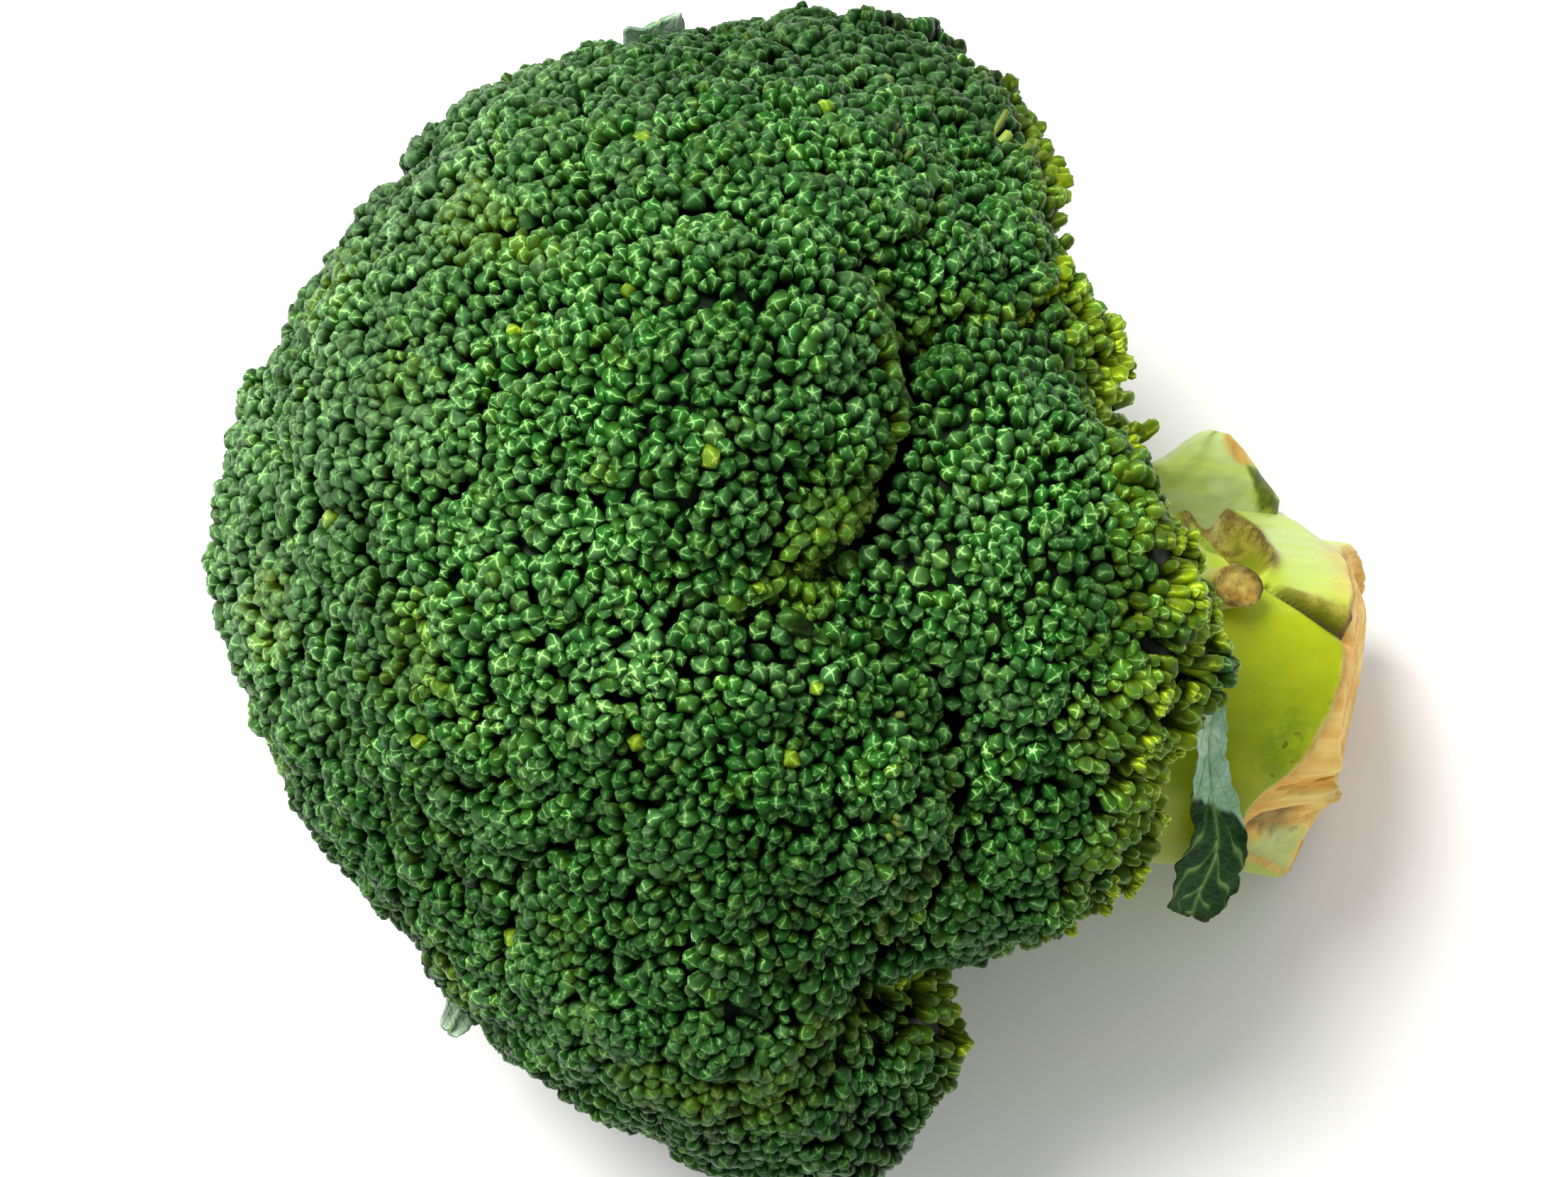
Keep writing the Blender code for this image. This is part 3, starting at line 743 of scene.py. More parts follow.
def all_buds():
    """Rows: tip (3), axis (3), radius, c, head, rho."""
    rng = np.random.RandomState(5)
    rows = []
    for n, head in enumerate(heads):
        data, dirs, tops = tuft_buds(head, rng)
        head["tufts"], head["tuft_tops"] = dirs, tops
        u = data[:, :3]
        held, free = reach(head, u)
        c = u @ head["lean"]
        keep = (held > free - 2.8) & (c > -0.42)
        data, u, free, c = data[keep], u[keep], free[keep], c[keep]
        rho, space, tuft_height = data[:, 3], data[:, 4], data[:, 6]
        r = 0.5 * space * (1.13 + 0.15 * rng.normal(size=len(u))).clip(0.80, 1.50)
        smooth, normal, _ = eased(head["centre"] + u * free[:, None], u)
        drop = 1.25 * (rho / 4.6) ** 2 - 0.30 * tuft_height.clip(-1.5, 1.5)
        place = smooth + normal * (0.70 - drop + 0.24 * rng.normal(size=len(u)).clip(-1.6, 1.6))[:, None]
        middle, _, _ = eased(head["centre"] + tops, dirs)
        outward = place - middle[data[:, 5].astype(int)]
        outward -= normal * (outward * normal).sum(1, keepdims=True)
        axis = unit(normal + 0.085 * outward + 0.17 * rng.normal(size=u.shape))
        rows.append(np.concatenate([place, axis, r[:, None], c[:, None], np.full((len(u), 1), n), rho[:, None]], 1))
    rows = np.concatenate(rows)
    rows = rows[thin(rows[:, :3], rows[:, 6], rng.permutation(len(rows)), 0.63)]
    rows[:, :3] = spread(rows[:, :3], rows[:, 3:6], rows[:, 6], 3)
    # fill what is left open with small, low buds
    both = rows
    for turn, (count, low, smallest, room, factor) in enumerate(((4200, 0.35, 0.84, 0.14, 0.74), (5600, 0.50, 0.60, 0.14, 0.80))):
        fill = []
        for n, head in enumerate(heads):
            dirs = fibonacci(count, n * 0.7 + turn)
            dirs = unit(dirs + 0.01 * rng.normal(size=dirs.shape))
            held, free = reach(head, dirs)
            c = dirs @ head["lean"]
            keep = (held > free - 3.2) & (c > -0.42)
            if turn:
                keep &= dirs @ SIGHT > -0.25
            dirs, free, c = dirs[keep], free[keep], c[keep]
            smooth, normal, _ = eased(head["centre"] + dirs * free[:, None], dirs)
            place = smooth + normal * (-low + 0.2 * rng.normal(size=len(dirs)))[:, None]
            axis = unit(normal + 0.14 * rng.normal(size=dirs.shape))
            r = smallest + room * rng.rand(len(dirs))
            fill.append(np.concatenate([place, axis, r[:, None], c[:, None], np.full((len(dirs), 1), n), np.full((len(dirs), 1), 6.0)], 1))
        fill = np.concatenate(fill)
        order = np.concatenate([rng.permutation(len(both)), len(both) + rng.permutation(len(fill))])
        old = len(both)
        both = np.concatenate([both, fill])
        alive = thin(both[:, :3], both[:, 6], order, factor)
        if turn:
            alive[:old] = True
        both = both[alive]
        if not turn:
            both[:, :3] = spread(both[:, :3], both[:, 3:6], both[:, 6], 3)
    return both


BUDS = all_buds()
print("buds", len(BUDS), "per head", np.bincount(BUDS[:, 8].astype(int)))


def bud_tones(rng, rows, head):
    """(brightness, yellow, bloom) of each bud and how much it is a rim bud. Brightness and bloom vary at random and by
    where the bud grows, and carry painted light: brightness is darker towards world -Y, +Y and -X as painted shade, and
    bloom is paler towards -X and +Y as painted sheen.
    """
    place, c = rows[:, :3], rows[:, 7]
    world = place @ TURN.T + FORK
    tone = (0.42 + 0.17 * rng.normal(size=len(rows)) + 0.45 * perlin(place * 0.10) + 0.25 * perlin(place * 0.035 + 11)).clip(0.0, 1.0)
    under = smoothstep(0.26, -0.25, c) * (1.0 if head["polar"] > 55 else 0.4)
    high = head["name"] in ("upper_right", "fringe", "top_right")
    side = smoothstep(16, -5, place[:, 2]) if high else smoothstep(13, -6, place[:, 2]) if head["name"] == "right" else smoothstep(9, -9, place[:, 2])
    rim = np.maximum(under, side)
    tint = 1.15 if high else 1.15 - 0.55 * smoothstep(-4, -30, world[:, 1])
    yellow = (rim * tint * (0.62 + 0.8 * perlin(place * 0.16 + 7)) + 0.05 * rng.normal(size=len(rows)) + 0.22 * smoothstep(0.25, 0.6, perlin(place * 0.055 + 30))).clip(0, 1)
    odd = rng.rand(len(rows)) < 0.004
    yellow = np.where(odd, 0.35 + 0.4 * rng.rand(len(rows)), yellow)
    # bloom is partly the head's waxy bloom and partly painted sheen: it is paler towards world -X and +Y, where the key
    # light comes from, and weaker on rim buds
    bloom_and_sheen = 0.10 + 0.60 * smoothstep(-15, -62, world[:, 0]) * smoothstep(-45, 0, world[:, 1]) + 0.12 * smoothstep(5, 60, world[:, 1])
    bloom_and_sheen = (bloom_and_sheen + 0.28 * perlin(place * 0.07 + 3) + 0.13 * rng.normal(size=len(rows))).clip(0, 1) * (1 - 0.7 * rim)
    # painted shade: brightness drops towards world -Y, +Y and -X to follow the light on the head; rim buds of the high
    # heads are made brighter
    tone = (tone - 0.26 * smoothstep(-20, -60, world[:, 1]) - 0.30 * smoothstep(15, 60, world[:, 1]) - 0.12 * smoothstep(-25, -62, world[:, 0]) + (0.45 if high else 0.0) * rim).clip(0, 1.2)
    return np.stack([tone, yellow, bloom_and_sheen], 1), rim


def floret_piece(n, head):
    rng = np.random.RandomState(100 + n)
    rows = BUDS[BUDS[:, 8].astype(int) == n]
    tones, rim = bud_tones(rng, rows, head)
    open_ = rng.rand(len(rows)) > 0.40 * rim
    rows, tones, rim = rows[open_], tones[open_], rim[open_]
    long = 1 + 1.15 * rim * rng.rand(len(rows)) + 0.14 * rng.normal(size=len(rows)).clip(-1, 2)
    height = rows[:, 6] * 2.45 * long
    axis = unit(rows[:, 3:6] + (0.75 * rim)[:, None] * np.array([0, 0, -1.0]) + (0.16 * rim)[:, None] * rng.normal(size=(len(rows), 3)))
    b = Builder(("bud", "tone", "sides"))
    # ground under the buds, coloured near-black as painted shade in the gaps between them
    held, free = reach(head, SPHERE)
    c = SPHERE @ head["lean"]
    ground = np.minimum(held - 0.15, free)
    hollow = smoothstep(-0.22, -0.50, c)
    ground = ground * (1 - hollow) + np.minimum(ground, 0.42 * head["radius"]) * hollow
    pts, nrm, w = eased(head["centre"] + SPHERE * ground[:, None], SPHERE)
    pts = np.where((held > free - 4.0)[:, None], pts, head["centre"] + SPHERE * ground[:, None]) - nrm * 2.8
    plan = 0.5 + 0.5 * unit(SPHERE[:, :2] + 1e-6) * np.arccos(SPHERE[:, 2:3].clip(-1, 1)) / math.pi
    shade = np.stack([np.full(len(pts), 3.0), np.full(len(pts), 3.0), np.where(c < -0.15, 0.25, 0.0)], 1)
    b.add(pts, SPHERE_FACES, plan * (0.24, 0.24), bud=shade, tone=(0.0, 0.0, 0.0), sides=4)
    cells = int(math.ceil(math.sqrt((len(rows) + 160) * 1.09)))
    start = int(cells * 0.26 + 1)
    free_cells = [(i, j) for j in range(cells + 2) for i in range(cells) if not (i < start and j < start)]
    wide = 1.0 / cells
    tall = 1.0 / (free_cells[min(len(rows) + 160, len(free_cells)) - 1][1] + 1)
    order = rng.rand(len(rows))
    front = (rows[:, 3:6] @ SIGHT > -0.12) & (rows[:, 6] > 0.76)
    # small clusters of open, yellow buds where the stalk comes out
    if head["name"] in ("right", "centre", "centre_low", "low_mid", "low_right", "upper_right", "fringe", "bottom") and (rim > 0.75).any():
        near = np.where(rim > 0.75)[0]
        near = near[rng.permutation(len(near))[: max(4, len(near) // (8 if head["name"] in ("right", "fringe") else 12))]]
        extra, shade_, high = [], [], []
        for i in near:
            t1 = unit(np.cross(axis[i], rng.normal(size=3)))
            t2 = np.cross(axis[i], t1)
            for _ in range(rng.randint(5, 9)):
                a_, d_ = rng.rand() * 6.28, 0.4 + 1.0 * rng.rand()
                tip = rows[i, :3] + axis[i] * (0.3 + 0.7 * rng.rand()) + (t1 * math.cos(a_) + t2 * math.sin(a_)) * d_
                lean = unit(axis[i] + 0.5 * (t1 * math.cos(a_) + t2 * math.sin(a_)) * d_)
                r_ = 0.42 + 0.22 * rng.rand()
                extra.append([*tip, *lean, r_, rows[i, 7], n, 0.0])
                shade_.append([0.75 + 0.25 * rng.rand(), 0.75 + 0.25 * rng.rand(), 0.2])
                high.append(r_ * (2.2 + 1.6 * rng.rand()))
        if head["name"] == "right":
            for _ in range(11):
                tip = np.array([12.8, 25.9, -15.8]) + rng.normal(size=3) * (1.3, 1.7, 1.1)
                lean = unit(np.array([0.15, 0.55, -0.75]) + 0.30 * rng.normal(size=3))
                r_ = 0.80 + 0.20 * rng.rand()
                extra.append([*tip, *lean, r_, 0.0, n, 0.0])
                shade_.append([0.75 + 0.25 * rng.rand(), 0.35 + 0.45 * rng.rand(), 0.1])
                high.append(r_ * (4.2 + 1.8 * rng.rand()))
        rest = np.ones(len(rows), bool)
        rest[near] = False
        rows = np.concatenate([rows[rest], np.array(extra)])
        tones, rim = np.concatenate([tones[rest], np.array(shade_)]), np.append(rim[rest], np.full(len(extra), 0.2))
        axis, height = np.concatenate([axis[rest], np.array(extra)[:, 3:6]]), np.append(height[rest], high)
        order = rng.rand(len(rows))
        front = (rows[:, 3:6] @ SIGHT > -0.12) & (rows[:, 6] > 0.76)
    groups = [(4, (order < 0.62) & front, RINGS_FINE), (5, (order >= 0.62) & (order < 0.84) & front, RINGS_FINE), (3, (order >= 0.84) & front, RINGS_FINE),
              (4, (order < 0.8) & ~front, RINGS_COARSE), (3, (order >= 0.8) & ~front, RINGS_COARSE)]
    used = 0
    for lobes, pick, rings in groups:
        some = rows[pick]
        if not len(some):
            continue
        relief = (0.75 + 0.35 * rng.normal(size=len(some))).clip(0.15, 1.5) * (1 - 0.6 * rim[pick])
        pts, faces, attr, plan, per = bud_mesh(rng, lobes, rings, some[:, :3], axis[pick], some[:, 6], height[pick], relief)
        spot = np.array([free_cells[i % len(free_cells)] for i in range(used, used + len(some))], float)
        used += len(some)
        uv = (spot[:, None] + 0.5 + 0.47 * plan[None]) * (wide, tall)
        b.add(pts, faces, uv.reshape(-1, 2), bud=attr.reshape(-1, 3), tone=np.repeat(tones[pick], per, 0), sides=lobes)
    # thick pedicels under the buds at the rim
    stalked = np.where((rim > 0.25) & (rng.rand(len(rows)) < (0.8 if head["polar"] > 55 else 0.4)))[0]
    for i in stalked:
        tip, ax = rows[i, :3], axis[i]
        base = tip - ax * height[i] * 0.8
        goal = head["foot"] + (base - head["foot"]) * 0.62
        path = np.array([base, base - ax * 1.6 + (goal - base) * 0.2, goal])
        pts, faces, along, around = tube(path, np.array([0.66, 0.52, 0.60]) * rows[i, 6] / 1.05, 5, cap=False)
        # painted shade: pedicels are darker towards their inner end
        b.add(pts, faces[:, ::-1], np.stack([around * 0.02 + 0.97, along * 0.02 + 0.97], 1), index=1,
              bud=np.stack([along, around, 0.15 + 0.75 * along], 1), tone=(0.5, float(np.clip(0.45 + 0.5 * tones[i, 1], 0, 1)), 0.1), sides=0)
    return b.finish("florets." + head["name"], [BUD, STEM], ["floret_" + head["name"]])


def branch_piece(n, head):
    """A branch, forking into twigs that carry the tufts of its bud head."""
    rng = np.random.RandomState(300 + n)
    b = Builder(("bud", "tone", "sides"))
    line = branch_points(head, 6)
    foot = head["foot"]
    lines = [branch_points(h) for h in heads if h is not head]
    radii = []
    for i, p in enumerate(line):
        room = min(nearest_on(other, p)[1] for other in lines)
        radii.append(max(1.0, min(head["branch_radius"] * (1.15 - 0.2 * i / 5), 0.52 * room)))
    inner = [line[0] - head["lean"] * 3.0] + list(line) + [foot + head["lean"] * 2.0]
    radii = [radii[0]] + radii + [radii[-1] * 0.8]
    path = smooth_path(inner, 16)
    path[1:-1] += 0.25 * rng.normal(size=path[1:-1].shape)
    wide = np.interp(np.linspace(0, 1, 16), np.linspace(0, 1, len(radii)), radii)
    pts, faces, along, around = tube(path, wide, 18, 0.05, seed=n)
    # painted shade: the branch is darker towards its root inside the crown
    shade = 0.15 + 0.25 * (1 - along)
    b.add(pts, faces, np.stack([around * 0.3, along * 0.95], 1), bud=np.stack([along, around, shade], 1), tone=(0.5, 0.25, 0.55), sides=0)
    for k, (d, top) in enumerate(zip(head["tufts"], head["tuft_tops"])):
        c = float(d @ head["lean"])
        if c > 0.30:
            continue
        end = head["centre"] + top * 0.86
        begin = foot - head["lean"] * (2.0 + 2.5 * rng.rand())
        middle = begin + head["lean"] * 4.0 + (end - begin) * 0.45 - d * 1.0
        path = smooth_path([begin, middle, end], 7)
        r0 = 0.30 * head["branch_radius"] + 0.35
        pts, faces, along, around = tube(path, np.linspace(r0, 0.62, 7), 8, 0.05, seed=k)
        cell = k % 12
        # painted shade: twigs are darker towards their ends under the buds
        b.add(pts, faces, np.stack([0.32 + cell * 0.055 + around * 0.05, along * 0.95], 1),
              bud=np.stack([along, around, 0.12 + 0.30 * along], 1), tone=(0.5, 0.30, 0.25), sides=0)
        for _ in range(4):
            turn = unit(np.cross(d, rng.normal(size=3)))
            goal = end + turn * (1.8 + 1.6 * rng.rand()) + d * 1.0
            start = middle + (end - middle) * (0.25 + 0.4 * rng.rand())
            path = smooth_path([start, (start + goal) / 2 - d * 0.5, goal], 4)
            pts, faces, along, around = tube(path, np.linspace(0.55, 0.42, 4), 5, seed=k)
            # painted shade: darker towards the end under the buds
            b.add(pts, faces, np.stack([0.98 + 0.01 * around, along * 0.95], 1), bud=np.stack([along, around, 0.2 + 0.5 * along], 1), tone=(0.5, 0.45, 0.1), sides=0)
    return b.finish("branch." + head["name"], [STEM], ["branch_" + head["name"]])


for n, head in enumerate(heads):
    floret_piece(n, head)
    branch_piece(n, head)


# ------------------------------------------------------------------- stalk
def turn_from(az, centre):
    return (np.asarray(az) - centre + 180.0) % 360.0 - 180.0


def segment_distance(t, s, a, b):
    """Distance in mm on the unrolled stalk, share along the segment, and which side."""
    a, b = np.asarray(a, float), np.asarray(b, float)
    d = b - a
    px, py = t - a[0], s - a[1]
    share = np.clip((px * d[0] + py * d[1]) / (d @ d), 0, 1)
    dx, dy = px - share * d[0], py - share * d[1]
    return np.hypot(dx, dy), share, np.sign(d[0] * dy - d[1] * dx)


def stalk_relief(az, t):
    """(extra radius, masks) on the stalk's side."""
    arc = 0.40
    # a deep hollow where a side shoot has dried, its wall crusted and its edge brown
    hollow = np.sqrt(((t - 27.4) / 4.9) ** 2 + (turn_from(az, 35.0) / 26.0) ** 2)
    hollow = hollow * (1 + 0.10 * perlin(np.stack([az * 0.06, t * 0.25, az * 0], -1)))
    hollow_in = smoothstep(1.02, 0.72, hollow)
    post = np.exp(-(((t - 24.3) / 1.25) ** 2)) * smoothstep(58, 46, turn_from(az, 0)) * smoothstep(0, 12, turn_from(az, 0))
    hollow_in = hollow_in * (1 - 0.85 * post)
    ring = np.abs(hollow - 1.0)
    wall = hollow_in * smoothstep(24, 46, turn_from(az, 0))
    slit, share, side = segment_distance(t, turn_from(az, 0.0) * arc, (29.2, 2.7), (41.5, -2.9))
    cleft = np.exp(-((slit / (0.26 + 1.05 * share)) ** 2))
    lip = np.exp(-(((slit - 1.9 * share - 0.5) / (0.5 + 0.9 * share)) ** 2)) * (side > 0) * smoothstep(0.0, 0.2, share)
    p = np.stack([np.cos(np.radians(az)) * 2.2, np.sin(np.radians(az)) * 2.2, t * 0.035], -1)
    ribs = perlin(p * 2.3 + 5)
    dents = perlin(np.stack([np.cos(np.radians(az)) * 1.3, np.sin(np.radians(az)) * 1.3, t * 0.06], -1) + 40)
    shoulder = np.exp(-((turn_from(az, 68.0) / 11.0) ** 2)) * smoothstep(12, 18, t) * smoothstep(36, 28, t)
    pillar = np.exp(-(((t - 20.6) / 1.5) ** 2)) * smoothstep(2, 14, turn_from(az, 0)) * smoothstep(62, 48, turn_from(az, 0))
    extra = 0.7 * shoulder + 0.6 * pillar - 3.9 * hollow_in + 0.35 * np.exp(-((ring / 0.16) ** 2)) + 0.7 * post - 2.2 * cleft + 0.5 * lip + 0.40 * ribs + 0.5 * dents
    broad = smoothstep(3, 12, turn_from(az, 0)) * smoothstep(78, 60, turn_from(az, 0)) * smoothstep(31, 34, t)
    pale = np.clip(1.1 * shoulder + 0.9 * pillar + 0.62 * broad * (1 + 0.5 * perlin(p * 3.1)) + 0.25 * broad * smoothstep(34, 31.5, t), 0, 1)
    back = smoothstep(60, 110, np.abs(turn_from(az, -20)))
    pale = np.clip(pale + 0.45 * back * (0.6 + perlin(p * 1.6)), 0, 1)
    yellow = smoothstep(7, -5, turn_from(az, 0)) * smoothstep(-120, -80, turn_from(az, 0)) * (1 - pale)
    yellow = np.clip(yellow + 0.7 * hollow_in, 0, 1)
    rough = 0.5 + 0.9 * perlin(np.stack([az * 0.18, t * 0.55, az * 0 + 2], -1))
    brown = np.clip(wall * (0.34 + 0.7 * rough) + 0.95 * np.exp(-((ring / 0.15) ** 2)) * smoothstep(16, 34, turn_from(az, 0) + 3 * (t - 27)) + 0.75 * lip, 0, 1)
    # painted shade: the slit's cleft is coloured near-black; a thin dark line also runs along the hollow's rim past t =
    # 29
    dark_and_shade = np.clip(0.95 * cleft * smoothstep(0.02, 0.2, share) + 0.5 * np.exp(-((ring / 0.06) ** 2)) * smoothstep(29, 32, t) * (rough > 0.4), 0, 1)
    blotch = np.exp(-(((t - 33) / 5.0) ** 2 + (turn_from(az, -42) / 14.0) ** 2)) * 0.85 + 0.75 * smoothstep(1.0, 0.75, hollow) * smoothstep(44, 26, turn_from(az, 0))
    extra = extra - 3.6 * smoothstep(38.5, 46.5, t) * np.exp(-((turn_from(az, 88.0) / 50.0) ** 2))
    return extra, pale, brown, dark_and_shade, yellow, np.clip(blotch, 0, 1)


# the knife's cut isn't flat: (azimuth, where the skin ends, how far the face stands out), from the plane
SKIN_END = [(-180, 0, 0), (-112, 0, 0), (-98, -3.5, 0), (-90, -5.7, 0.2), (-80, -5.8, 1.9), (-70, -5.4, 4.0), (-60, -3.6, 5.7), (-50, 0.6, 6.3), (-40, 2.9, 5.6),
            (-30, 4.6, 5.3), (-20, 5.1, 5.1), (-10, 4.9, 4.9), (0, 4.3, 4.3), (10, 4.0, 3.9), (20, 3.0, 2.9), (30, 1.9, 1.9), (45, 0.7, 0.7), (62, 0, 0), (180, 0, 0)]


def stalk_piece():
    around, down, inward = 248, 112, 30
    az = np.concatenate([np.linspace(-180, -70, 36, endpoint=False), np.linspace(-70, 90, 184, endpoint=False), np.linspace(90, 180, 28, endpoint=False)])
    a = np.radians(az)
    rows, kinds, mores, grains = [], [], [], []
    rim_r = stalk_radius(az, 40.0)
    edge = np.array([cut_depth(r * math.cos(x), r * math.sin(x)) for r, x in zip(rim_r, a)])
    table = np.array(SKIN_END, float)
    skin_end, stands = np.interp(az, table[:, 0], table[:, 1]), np.interp(az, table[:, 0], table[:, 2])
    wavy = perlin(np.stack([np.cos(a) * 5, np.sin(a) * 5, a * 0], 1))
    jagged = perlin(np.stack([np.cos(a) * 17, np.sin(a) * 17, a * 0 + 3], 1))
    edge_t = edge + skin_end + 0.35 * wavy + 0.25 * jagged
    for i in range(down):
        share = i / (down - 1)
        share = np.interp(share, [0, 0.10, 0.93, 1], [0, 0.40, 0.965, 1])
        t = -13.0 + (edge_t + 13.0) * share
        extra, pale, brown, dark_and_shade, yellow, blotch = stalk_relief(az, t)
        near_end = smoothstep(0.975, 1.0, share)
        r = stalk_radius(az, np.minimum(t, 40.0)) + extra * smoothstep(0, 8, t) - 0.8 * near_end**2
        rows.append(np.stack([r * np.cos(a), r * np.sin(a), -t], 1))
        skin = smoothstep(0.975, 0.995, share + 0.010 * jagged) + 0 * a
        lit_rim = smoothstep(0.90, 0.975, share + 0.02 * wavy) * smoothstep(0, 14, turn_from(az, 0)) * smoothstep(70, 45, turn_from(az, 0))
        kinds.append(np.stack([pale, np.clip(brown + 0.35 * skin + 0.22 * lit_rim, 0, 1), dark_and_shade], 1))
        mores.append(np.stack([np.clip(skin * 0.8 + 0.35 * lit_rim, 0, 1), yellow, blotch], 1))
        grains.append(np.stack([np.cos(a) * 9, np.sin(a) * 9, t * 0.05], 1))
    # the cut face: torn below, fibres outwards, a ring of bundles and a soft middle
    last = rows[-1]
    rim = np.hypot(last[:, 0], last[:, 1])
    low = smoothstep(-42, -60, turn_from(az, 0)) * smoothstep(-112, -96, turn_from(az, 0))
    for i in range(1, inward + 1):
        s = (i / inward) ** 1.25
        x, y = last[:, 0] * (1 - s), last[:, 1] * (1 - s)
        rr = np.hypot(x, y)
        plane = STALK_CUT + (STALK_CUT_NORMAL[0] * x + STALK_CUT_NORMAL[1] * y) / STALK_CUT_NORMAL[2]
        out = stands + (4.2 - stands) * smoothstep(0.02, 0.50, s)
        flap = perlin(np.stack([az * 0.085, s * 7.0 + 0 * az, az * 0 + 4], 1))
        flap = np.round(2.6 * flap) / 2.6
        torn = low * smoothstep(0.01, 0.05, s) * smoothstep(0.50, 0.25, s)
        fibre = perlin(np.stack([np.cos(a) * 14, np.sin(a) * 14, rr * 0.10], 1))
        bundle = np.exp(-(((rr / rim_r - 0.80) / 0.05) ** 2)) * (1 + np.cos(a * 26))
        rise = smoothstep(0.0, 0.05 + 0.12 * low, s)
        t = -last[:, 2] + (plane + out + last[:, 2]) * rise + (0.22 * fibre + 0.12 * bundle) * smoothstep(0.0, 0.1, s) - 0.8 * np.exp(-((rr / 9.0) ** 2)) + 2.4 * torn * flap
        wide = 1 + 0.06 * torn * flap
        rows.append(np.stack([x * wide, y * wide, -t], 1))
        cream = low * smoothstep(-0.1, 0.4, flap) * smoothstep(0.03, 0.09, s) * smoothstep(0.6, 0.3, s) * smoothstep(-86, -76, turn_from(az, 0))
        # painted shade: the recesses between the torn flaps are coloured darker brown
        cavity_shade = low * smoothstep(-0.05, -0.45, flap) * smoothstep(0.02, 0.06, s) * smoothstep(0.5, 0.25, s)
        green = smoothstep(-80, -88, turn_from(az, 0)) * smoothstep(-125, -108, turn_from(az, 0)) * smoothstep(0.26, 0.12, s)
        rind = smoothstep(0.05, 0.0, s)
        kinds.append(np.stack([np.clip(0.62 * np.exp(-((rr / 16.0) ** 4)) + 1.0 * cream + 0.7 * green, 0, 1), np.clip(0.30 * rind + 0.75 * cavity_shade, 0, 1), 0.25 * cavity_shade], 1))
        mores.append(np.stack([(0.94 - 0.25 * cream) * (1 - 0.9 * green), 0 * az, 0 * az], 1))
        outer = smoothstep(0.50, 0.92, rr / rim_r)
        grains.append(np.stack([np.cos(a) * 9 * outer + (1 - outer) * x * 0.28, np.sin(a) * 9 * outer + (1 - outer) * y * 0.28, t * 0.04 + rr * 0.05], 1))
    pts = np.concatenate(rows)
    n = len(rows)
    j = np.arange(around)
    k = (j + 1) % around
    faces, loops = [], []
    v = np.concatenate([np.linspace(0, 0.72, down), 0.72 + 0.28 * np.arange(1, inward + 1) / inward])
    for i in range(n - 1):
        a, b = i * around, (i + 1) * around
        faces += [np.stack([a + j, b + j, b + k], 1), np.stack([a + j, b + k, a + k], 1)]
        u0, u1 = j / around, (j + 1) / around
        va, vb = np.full(around, v[i]), np.full(around, v[i + 1])
        loops.append(np.stack([np.stack([u0, va], 1), np.stack([u0, vb], 1), np.stack([u1, vb], 1)], 1))
        loops.append(np.stack([np.stack([u0, va], 1), np.stack([u1, vb], 1), np.stack([u1, va], 1)], 1))
    faces, loops = np.concatenate(faces), np.concatenate(loops).reshape(-1, 2)
    # close the top inside the crown
    top = len(pts)
    pts = np.concatenate([pts, [[0, 0, 14.0]]])
    cap = np.stack([np.full(around, top), j, k], 1)
    faces = np.concatenate([faces, cap])
    loops = np.concatenate([loops, np.tile([[0.0, 0.0]], (around * 3, 1))])
    tail = lambda rows_, row: np.concatenate([np.concatenate(rows_), [row]])
    return make_piece("stalk.main", pts, faces, [STALK], {"kind": tail(kinds, (0, 0, 0)), "more": tail(mores, (0, 0, 0)), "grain": tail(grains, (0, 0, 0))},
                      loop_uv=loops, replaces=["main_stalk"])


stalk_piece()


# ------------------------------------------------------------------- stubs
def radial(azimuth):
    return direction(90, azimuth)


def ring_piece(name, rings, paint, replaces, grain):
    """A lofted body from rings of equal length, closed at its outer end."""
    count, m = len(rings), len(rings[0])
    pts = np.concatenate(rings)
    j = np.arange(m)
    k = (j + 1) % m
    faces, loops = [], []
    for i in range(count - 1):
        a, b = i * m, (i + 1) * m
        faces += [np.stack([a + j, a + k, b + k], 1), np.stack([a + j, b + k, b + j], 1)]
        u0, u1, va, vb = j / m, (j + 1) / m, np.full(m, i / count), np.full(m, (i + 1) / count)
        loops.append(np.stack([np.stack([u0, va], 1), np.stack([u1, va], 1), np.stack([u1, vb], 1)], 1))
        loops.append(np.stack([np.stack([u0, va], 1), np.stack([u1, vb], 1), np.stack([u0, vb], 1)], 1))
    faces, loops = np.concatenate(faces), np.concatenate(loops).reshape(-1, 2)
    normal = np.cross(pts[faces[:, 1]] - pts[faces[:, 0]], pts[faces[:, 2]] - pts[faces[:, 0]])
    out = pts[faces].mean(1) - pts[: (count - 1) * m].reshape(count - 1, m, 3).mean(1).repeat(2 * m, 0)
    if (normal * out).sum() < 0:
        faces = faces[:, ::-1]
        loops = loops.reshape(-1, 3, 2)[:, ::-1].reshape(-1, 2)
    kind, more = paint(pts, count, m)
    return make_piece(name, pts, faces, [STALK], {"kind": kind, "more": more, "grain": grain(pts)}, loop_uv=loops, replaces=replaces)


